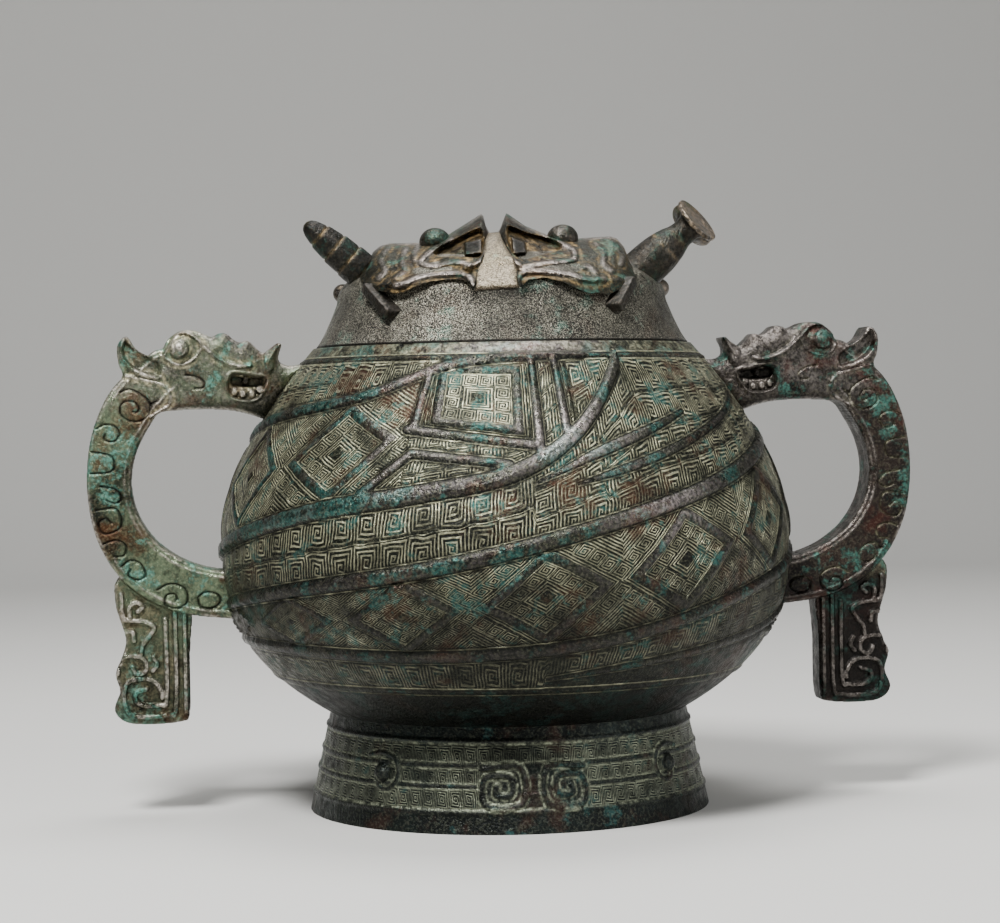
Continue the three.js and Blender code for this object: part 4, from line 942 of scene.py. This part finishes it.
# Painted shade and stains: painted shade under the two heads' meeting and on the side to the right, stains
# in drifting waves; a painted shadow line at the edge, in the gap where the lid meets the bowl.
lid_face = (lid_angles + 90) % 180 - 90
middle_shade_and_stain = 0.5 * hill(lid_face, 6, 14)
middle_shade_and_stain = middle_shade_and_stain + 0.3 * hill(lid_face, 1, 6) * soft_step(228, 238, dome_z)[:, None]
waves = np.sin(lid_face / 5 + dome_z[:, None] / 4) * np.sin(lid_face / 3.1 - dome_z[:, None] / 7)
middle_shade_and_stain = middle_shade_and_stain + 0.16 * waves + 0.08
side_painted_shade = 0.2 * soft_step(14, 24, lid_face) * (1 - soft_step(80, 90, lid_face))
above_gap_shadow = soft_step(0.7, 1.1, dome_z - LID_SEAT)[:, None]
lid_wear[..., 2] = (1 - middle_shade_and_stain - side_painted_shade) * above_gap_shadow
lid_wear[..., 0] *= above_gap_shadow
lid_tint = np.zeros(lid_wear.shape)
lid_tint[..., 0] = 0.7 * hill(lid_face, 13, 9) + 0.3 * waves
lid_cover = add_piece("lid_cover", turned(cover_points), cover_faces, {
    "wear": on_all_rows(lid_wear, len(cover_z), dome_rows, LID_COLUMNS),
    "tint": on_all_rows(lid_tint, len(cover_z), dome_rows, LID_COLUMNS),
})
# Cast bronze with a pitted skin: grey with fine pale and black grains about half a millimetre across, so the
# dome looks like rough stone with a soft shine.
LID_COLOURS = ("#12110d", "#4a493e", "#dcd6c2", "#4a7a6c", "#3f2a1a", "#8f8c84", "#100e09")
lid_bronze = aged_bronze(
    "cast_bronze_grey_grained", LID_COLOURS, 0.45, 0.2, 0.8, grain_share=1.0, grain_mm=0.55)
lid_cover.data.materials.append(lid_bronze)
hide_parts("lid")
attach(lid_cover, "root")

# Dragon heads on the lid: each is cast in one with the dome and stands off it, with a raised beak over an
# open mouth, a jaw ledge, round eyes, ear bars and a pair of horns; the left ones are ribbed cones and the
# right ones bottles with a flat round cap.
LEFT_TOP = [
    (-66, 252), (-61.2, 257.4), (-59.6, 261.3), (-56.4, 263.9), (-51.7, 265), (-38.4, 265), (-28.2, 266.2),
    (-23.5, 269.1), (-8.8, 278), (-7.7, 277.2), (-6.6, 272.5), (-5.1, 269.3),
]
LEFT_LOW = [
    (-5, 262), (-9, 252), (-12.1, 240.6), (-14, 243), (-17.6, 244), (-23.6, 244.4), (-31.1, 243.6),
    (-37.8, 241.6), (-43.9, 239), (-49, 239), (-57, 241), (-64, 246),
]
LEFT_GAPE = [
    (-30.6, 258.1), (-27.7, 261.5), (-19.9, 265.2), (-13.8, 268.1), (-8.4, 269.2), (-7, 261.5), (-9, 254.5),
    (-15.5, 254.6), (-21.6, 255.2), (-27.8, 255.7),
]
LEFT_LIP = [
    (-22.7, 264.4), (-30.4, 260), (-35.6, 254.6), (-35, 252.3), (-29.7, 251), (-22.9, 252.4), (-16.9, 251.9),
    (-14, 250.6),
]
LEFT_TUSK = [(-15.5, 249.6), (-10, 252), (-7.3, 254.9), (-6.3, 257.4)]
LEFT_JAW = [
    (-46.9, 242.6), (-43.1, 243.1), (-37.8, 245.6), (-31.1, 247), (-23.6, 247.3), (-17.6, 246.8),
    (-13.8, 244.8), (-12.3, 241),
]
LEFT_TOOTH = [(-16.4, 262.6), (-8, 264.4), (-8, 256.2), (-16.4, 255.4)]
LEFT_FOLDS = (
    [(-43.5, 261), (-45, 254.5), (-43.5, 249.5), (-47.5, 246)],
    [(-52, 262), (-55, 256), (-52.5, 250), (-55.5, 246.5)],
    [(-38, 262), (-39.5, 257), (-37.5, 252.5)],
)
RIGHT_TOP = [
    (-1.5, 268.6), (0, 270.8), (2.9, 278.2), (4.2, 277.6), (11.8, 272.1), (21.9, 267.7), (35.9, 265.8),
    (51.6, 266.6), (54.7, 265.5), (57.7, 261.9), (60, 255.3), (64, 250),
]
RIGHT_LOW = [
    (62, 245), (55, 240), (48, 236.5), (43.7, 237.6), (39.2, 237), (33.2, 239.4), (27.3, 242.3),
    (19.8, 244.3), (12.3, 243.4), (8.5, 240), (7.2, 250), (2, 262),
]
RIGHT_GAPE = [
    (3.5, 270.3), (11.5, 267.8), (22.9, 265), (28.1, 261.6), (28, 259.7), (25.9, 257.5), (16.6, 254.6),
    (10.5, 252.9), (5.9, 255.3), (3, 261.7),
]
RIGHT_LIP = [
    (20, 267), (28.6, 261.4), (32.7, 258.5), (33.7, 254.9), (31.5, 252.7), (20.1, 251.2), (8.8, 248.9),
]
RIGHT_TUSK = [(2.6, 258), (4.8, 253.6), (8.4, 250.4)]
RIGHT_JAW = [
    (7.4, 240.4), (7.6, 244.3), (9.8, 246.8), (14.7, 247.6), (23.6, 247.1), (31.1, 245.9), (36.3, 243.9),
    (40.8, 243), (46, 243.6),
]
RIGHT_TOOTH = [(4.6, 265), (11.4, 262.6), (12.2, 256), (5.4, 255.6)]
RIGHT_FOLDS = (
    [(36.6, 249.3), (39.6, 249.8), (42.6, 246.9), (43.3, 244)],
    [(44, 262), (47.5, 257), (46.5, 251.5), (50.5, 247.5)],
    [(52, 262.5), (56, 257), (55, 251.5)],
)
JAW_HEIGHT = 243
LEDGE_HEIGHT = 246
FLANK_RADIUS = 78.5
CROWN_HALF = 6


def dragon_face(top, low, gape, lip, tusk, jaw, tooth, folds):
    """Shape function of one lid dragon: half its width at each place of its side view.

    The half width grows from the silhouette down as a power of the share of the way to the jaw.
    """
    outline = np.array([*top, *low])
    ordered = np.array(sorted(top))

    def shape(x, z):
        crown = np.interp(x, ordered[:, 0], ordered[:, 1])
        depth = depth_inside(outline, x, z)
        share = np.clip((crown - z) / (crown - JAW_HEIGHT), 0, 1)
        flank = np.sqrt(np.clip(FLANK_RADIUS ** 2 - x ** 2, 0, None))
        half = CROWN_HALF + (flank - CROWN_HALF) * share ** 0.55
        below = np.clip(LEDGE_HEIGHT - z, 0, 12)
        half = half + 0.35 * below
        crest = np.zeros(x.shape)
        hollow = np.zeros(x.shape)
        mouth = curve_depth(gape, x, z)
        half = half - 8.5 * soft_step(0, 1.2, mouth)
        hollow = np.maximum(hollow, soft_step(-0.6, 1, mouth))
        # Painted shade deep in the open mouth.
        shade = 1 - 0.55 * soft_step(1, 4, mouth)
        block = depth_inside(np.array(tooth), x, z)
        half = half + 7 * soft_step(0, 0.8, block)
        hollow = hollow * (1 - soft_step(0, 0.8, block))
        crest = np.maximum(crest, 0.3 * soft_step(0, 0.8, block) * (1 - soft_step(1.2, 2, block)))
        shade = np.minimum(shade, 1 - 0.6 * soft_step(0.8, 1.6, block))
        for path, width, rise in ((lip, 1.6, 2.4), (tusk, 1.3, 3.4), (jaw, 1.7, 2.6)):
            away = curve_distance(path, x, z)
            bead = soft_step(0, width * 0.8, width * 1.1 - away)
            half = half + rise * bead
            crest = np.maximum(crest, bead)
            hollow = np.maximum(hollow, hill(away, width * 1.8, 0.8))
        for path in folds:
            away = curve_distance(path, x, z)
            half = half + 1.1 * soft_step(0, 1.8, 2 - away)
            hollow = np.maximum(hollow, 0.45 * hill(away, 2.4, 0.8))
            crest = np.maximum(crest, 0.5 * soft_step(0, 1.4, 1.7 - away))
        ridge = hill(crown - z, 1.2, 1.2) * 0.7
        crest = np.maximum(crest, ridge)
        return depth, half, np.stack([crest, hollow, shade], axis=-1)

    return shape


def turned_along(profile, start, end, sides=40, squash=1.0, power=1.0):
    """Closed shell about the line from start to end: rings of (along in shares, radius in mm).

    A ring is cos and sin of the turn, each raised to power with its sign kept: 1 is round, 0.3 near square.
    """
    start, end = np.array(start, dtype=float), np.array(end, dtype=float)
    way = (end - start) / np.linalg.norm(end - start)
    side = np.cross(way, (0, 0, 1))
    side = side / np.linalg.norm(side)
    lift = np.cross(side, way)
    profile = np.array(profile, dtype=float)
    turn = np.linspace(0, 2 * np.pi, sides, endpoint=False)
    wide = np.sign(np.cos(turn)) * np.abs(np.cos(turn)) ** power
    tall = np.sign(np.sin(turn)) * np.abs(np.sin(turn)) ** power
    ring = wide[:, None] * side * squash + tall[:, None] * lift
    middle = start + profile[:, :1] * (end - start)
    points = (middle[:, None, :] + profile[:, 1][:, None, None] * ring[None, :, :]).reshape(-1, 3)
    count = len(points)
    faces = [
        ring_faces(len(profile), sides)[:, ::-1],
        pole_faces(0, sides, count, True)[:, ::-1],
        pole_faces(count - sides, sides, count + 1, False)[:, ::-1],
    ]
    return np.concatenate([points, middle[:1], middle[-1:]]), faces


def joined_shells(shells):
    """Several closed shells as one set of points, faces and wear."""
    points, quads, fans, wear = [], [], [], []
    count = 0
    for shell_points, shell_faces, shell_wear in shells:
        points.append(shell_points)
        for group in shell_faces:
            (quads if group.shape[1] == 4 else fans).append(group + count)
        wear.append(shell_wear)
        count += len(shell_points)
    return np.concatenate(points), [np.concatenate(quads), np.concatenate(fans)], np.concatenate(wear)


def even_wear(points, crest, hollow, shade):
    """The same wear all over a small shell."""
    return np.tile((crest, hollow, shade), (len(points), 1))


HORN_RINGS = 5
EYE_RADIUS = 7.3
EYE_REACH = 6.4
along_horn = np.linspace(0, 1, 81)
in_ring = (along_horn * HORN_RINGS + 0.5) % 1 - 0.5
cone_radius = np.interp(along_horn, (0, 0.3, 0.6, 0.8, 0.92, 0.97, 1), (8.6, 8.4, 7.4, 5.9, 4.2, 3, 1.2))
ring_joint = hill(in_ring, 0, 0.07) * (along_horn < 0.95)
cone_radius = cone_radius * (1 + 0.05 * (in_ring % 1)) - 0.55 * ring_joint
CONE = np.stack([along_horn, cone_radius], axis=-1)
BOTTLE_NECK = [
    (0, 9.6), (0.2, 10), (0.45, 9.6), (0.62, 8.2), (0.74, 6.4), (0.84, 6.2), (0.9, 7.2), (0.94, 9.4),
]
BOTTLE_CAP = [(0.955, 11.4), (0.97, 11.9), (1.0, 11.8), (1.0, 11.2), (0.992, 9.5), (0.99, 3)]
BOTTLE = np.concatenate([smooth_path(BOTTLE_NECK), BOTTLE_CAP])
BAR = np.array([(0, 0.7), (0.01, 0.92), (0.04, 1), (0.5, 1), (0.96, 1), (0.99, 0.92), (1, 0.7)])
round_turn = np.linspace(0.05, np.pi - 0.05, 24)
ROUND = np.stack([(1 - np.cos(round_turn)) / 2, np.sin(round_turn)], axis=-1)
left_face = dragon_face(
    LEFT_TOP, LEFT_LOW, LEFT_GAPE, LEFT_LIP, LEFT_TUSK, LEFT_JAW, LEFT_TOOTH, LEFT_FOLDS)
right_face = dragon_face(
    RIGHT_TOP, RIGHT_LOW, RIGHT_GAPE, RIGHT_LIP, RIGHT_TUSK, RIGHT_JAW, RIGHT_TOOTH, RIGHT_FOLDS)
# Name, side, face and its low and high corner; horn profile, foot and tip; eye; ear bar's top and foot.
DRAGONS = (
    ("dragon_left", -1, left_face,
     (-68, 238), (-3, 279.5),
     CONE, (-57.5, 20, 245.5), (-90, 26, 273.6), (-30.2, 265), (-59.5, 242.5), (-48.1, 229.4)),
    ("dragon_right", 1, right_face,
     (-3, 235), (66, 279.5),
     BOTTLE, (58, 16, 243.5), (92.4, 15, 273.2), (28.9, 265.6), (57.4, 243.6), (50, 230.6)),
)
# Cast bronze full of ochre earth: near-black, with yellow-brown in the folds and lips rubbed to pale grey.
DRAGON_COLOURS = ("#0a0b08", "#2c3028", "#bd9f6d", "#446f62", "#3c2717", "#cabfb6", "#080706")
dragon_bronze = aged_bronze("cast_bronze_dark_with_ochre_earth", DRAGON_COLOURS, 0.8, 0.75, 0.8)
for name, side, shape, low, high, horn, horn_foot, horn_tip, eye, ear_top, ear_foot in DRAGONS:
    body_points, body_faces, body_wear = cast_both_ways(shape, low, high, 0.42, 40)
    shells = [(body_points, [body_faces], body_wear)]
    for far in (-1, 1):
        ends = [np.array(end) * (1, far, 1) for end in (horn_foot, horn_tip)]
        points, faces = turned_along(horn, *ends, sides=48)
        if side > 0:
            way = (ends[1] - ends[0]) / np.linalg.norm(ends[1] - ends[0])
            along = (points - ends[0]) @ way
            outwards = (points - ends[0] - along[:, None] * way)[:, 1] * far
            share = along / np.linalg.norm(ends[1] - ends[0])
            tip = soft_step(0.9, 0.955, share)
            points = points - (0.36 * outwards * tip)[:, None] * way
        wear = even_wear(points, 0.15, 0.1, 0.25)
        if side > 0:
            rings = hill(share, 0.55, 0.012) + hill(share, 0.7, 0.012)
            wear = wear + tip[:, None] * (0.3, 0.5, 0.6) + rings[:, None] * (0, 0.7, 0.5)
        if side < 0:
            joint = hill(np.repeat(in_ring, 48), 0, 0.09)
            wear[:len(joint), 1] = 0.8 * joint
            wear[:len(joint), 2] = 0.25 + 0.65 * joint
        shells.append((points, faces, wear))
        middle = np.array([eye[0], far * 23, eye[1] - 0.6])
        eye_low, eye_high = middle - (0, 0, EYE_REACH), middle + (0, 0.2, EYE_REACH)
        points, faces = turned_along(ROUND * (1, EYE_RADIUS), eye_low, eye_high, sides=32)
        shells.append((points, faces, even_wear(points, 0.5, 0.1, 0.45)))
        ear = [
            np.array([x, far * np.sqrt(dome_radius(z - LID_SEAT) ** 2 - x ** 2) + far * 2.5, z])
            for x, z in (ear_top, ear_foot)
        ]
        points, faces = turned_along(BAR * (1, 2.5), ear[0], ear[1], sides=48, squash=1.7, power=0.3)
        shells.append((points, faces, even_wear(points, 0.3, 0.1, 0.3)))
    curl = np.array([side * 76, 12.0, 243.0])
    points, faces = turned_along(ROUND ** (1, 0.4) * (1, 4.6), curl, curl + (0, 14, 0), sides=32)
    shells.append((points, faces, even_wear(points, 0.4, 0.3, 0.7)))
    points, faces, wear = joined_shells(shells)
    dragon = add_piece(name, turned(points), faces, {"wear": wear}, sharp_over=55)
    dragon.data.materials.append(dragon_bronze)
    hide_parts("lid")
    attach(dragon, "root")

# Saddle between the two dragon heads: cast in one with the lid, a rough neck full of cream-coloured earth
# that widens from the top down to a low step on the dome.
SADDLE = np.array([
    (-12, 238.5), (-11.6, 251), (-7.6, 257.2), (-7, 262.6), (-5.4, 267.6), (-2.7, 268), (-0.4, 268.8),
    (1, 263.6), (3.4, 258.4), (7.6, 253), (8.6, 239.6),
])
SADDLE_TOP = 268.8
SADDLE_FALL = 31.8
SADDLE_FOOT = 249
SADDLE_STEP = 1.5


def saddle_face(x, z):
    """Depth inside the outline and half the thickness: a low power of the way down, with rounded edges.

    Below its foot the saddle stands no more than a small step above the dome.
    """
    depth = depth_inside(SADDLE, x, z)
    half = 5 + 76.5 * np.clip((SADDLE_TOP - z) / SADDLE_FALL, 0, 1) ** 0.3
    on_dome = np.minimum(half, dome_radius(z - LID_SEAT) + SADDLE_STEP)
    half = np.where(z > SADDLE_FOOT, half, on_dome)
    half = np.sqrt(np.clip(half ** 2 - x ** 2, 9, None))
    # Painted shade within 3 mm of the outline, where the saddle rounds off into the heads and the dome.
    shade = 1 - 0.6 * soft_step(3, 0, depth)
    wear = np.stack([np.full(x.shape, 0.4), np.full(x.shape, 0.5), shade], axis=-1)
    return depth, rounded_edge(half, depth, 2.5), wear


saddle_points, saddle_faces, saddle_wear = cast_both_ways(saddle_face, (-13, 237), (10, 270), 0.5, 40)
saddle = add_piece("lid_saddle", turned(saddle_points), [saddle_faces], {"wear": saddle_wear}, sharp_over=55)
# Bronze hidden by cream-coloured earth: the brightest spot of the lid, rough with dark pits.
SADDLE_COLOURS = ("#4a4030", "#766a52", "#ddd0b4", "#6f9a84", "#6b4a2c", "#d9cdbf", "#2e2416")
saddle_bronze = aged_bronze(
    "cast_bronze_under_cream_earth", SADDLE_COLOURS, 0.4, 0.5, 0.9, grain_share=1.0, grain_mm=0.55)
saddle.data.materials.append(saddle_bronze)
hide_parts("lid")
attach(saddle, "root")

# Plain pale studio: a paper floor that curves up behind, with soft lamps from above, left and right. It is
# not part of the vessel.
floor_mesh = bpy.data.meshes.new("floor")
sweep = np.linspace(0, np.pi / 2, 24)
floor_y = np.concatenate([[-3.0], 1.6 + np.sin(sweep) * 0.8, [2.4]])
floor_z = np.concatenate([[0.0], 0.8 - np.cos(sweep) * 0.8, [4.0]])
floor_points = np.concatenate([np.stack([np.full(26, x), floor_y, floor_z], axis=-1) for x in (-4.0, 4.0)])
steps = np.arange(25)
floor_faces = np.stack([steps, steps + 26, steps + 27, steps + 1], axis=-1)
floor_mesh.from_pydata(floor_points.tolist(), [], floor_faces.tolist())
floor_mesh.shade_smooth()
floor = bpy.data.objects.new("floor", floor_mesh)
bpy.context.scene.collection.objects.link(floor)
# Pale paper without shine, so that the bronze stands out and only its own shadow lies on the floor.
paper = bpy.data.materials.new("pale_paper")
paper.use_nodes = True
paper.node_tree.nodes.clear()
paper_shader = add_node(paper.node_tree, "BsdfPrincipled", {
    "Base Color": linear("#c9c8c4"), "Roughness": 0.9})
add_node(paper.node_tree, "OutputMaterial", {0: paper_shader}, out=None)
floor_mesh.materials.append(paper)
world = bpy.data.worlds.new("studio")
bpy.context.scene.world = world
world.use_nodes = True
world.node_tree.nodes.clear()
sky = add_node(world.node_tree, "Background", {"Color": linear("#dfe1e4"), "Strength": 0.22})
add_node(world.node_tree, "OutputWorld", {0: sky}, out=None)
for name, place, size, power in (
    ("key_light", (-0.5, -0.95, 1.55), 0.45, 60),
    ("fill_light", (1.4, -1.1, 0.9), 0.9, 14),
    ("top_light", (0.1, 0.3, 1.6), 0.8, 18),
):
    lamp = bpy.data.lights.new(name, "AREA")
    lamp.size = size
    lamp.energy = power
    light = bpy.data.objects.new(name, lamp)
    light.location = place
    light.rotation_euler = (Vector((0, 0, 0.15)) - Vector(place)).to_track_quat("-Z", "Y").to_euler()
    bpy.context.scene.collection.objects.link(light)

# Camera: 1.2 m away at 187 mm height, 7 degrees towards the left handle, with one degree of roll. The look
# is turned by the pixels that the middle of the photo lies left of and below the level line.
CAMERA_ANGLE = np.radians(-7)
CAMERA_ROLL = np.radians(1)
CAMERA_DISTANCE = 1.2014
CAMERA_HEIGHT = 0.1868
IMAGE_WIDTH = 1000
FOCAL_PIXELS = 2540.0
LEFT_PIXELS = 4.03
DOWN_PIXELS = 53.34
SENSOR = 36
forward = Vector((-np.sin(CAMERA_ANGLE), np.cos(CAMERA_ANGLE), 0))
right = Vector((np.cos(CAMERA_ANGLE), np.sin(CAMERA_ANGLE), 0))
up = Vector((0, 0, 1))
look = (forward * FOCAL_PIXELS - right * LEFT_PIXELS - up * DOWN_PIXELS).normalized()
across = look.cross(up * np.cos(CAMERA_ROLL) + right * np.sin(CAMERA_ROLL)).normalized()
above = across.cross(look)
lens = bpy.data.cameras.new("camera")
lens.lens = FOCAL_PIXELS / IMAGE_WIDTH * SENSOR
lens.sensor_width = SENSOR
camera = bpy.data.objects.new("camera", lens)
camera.matrix_world = Matrix.Translation(-forward * CAMERA_DISTANCE + up * CAMERA_HEIGHT) @ Matrix(
    (across, above, -look)).transposed().to_4x4()
bpy.context.scene.collection.objects.link(camera)
bpy.context.scene.camera = camera
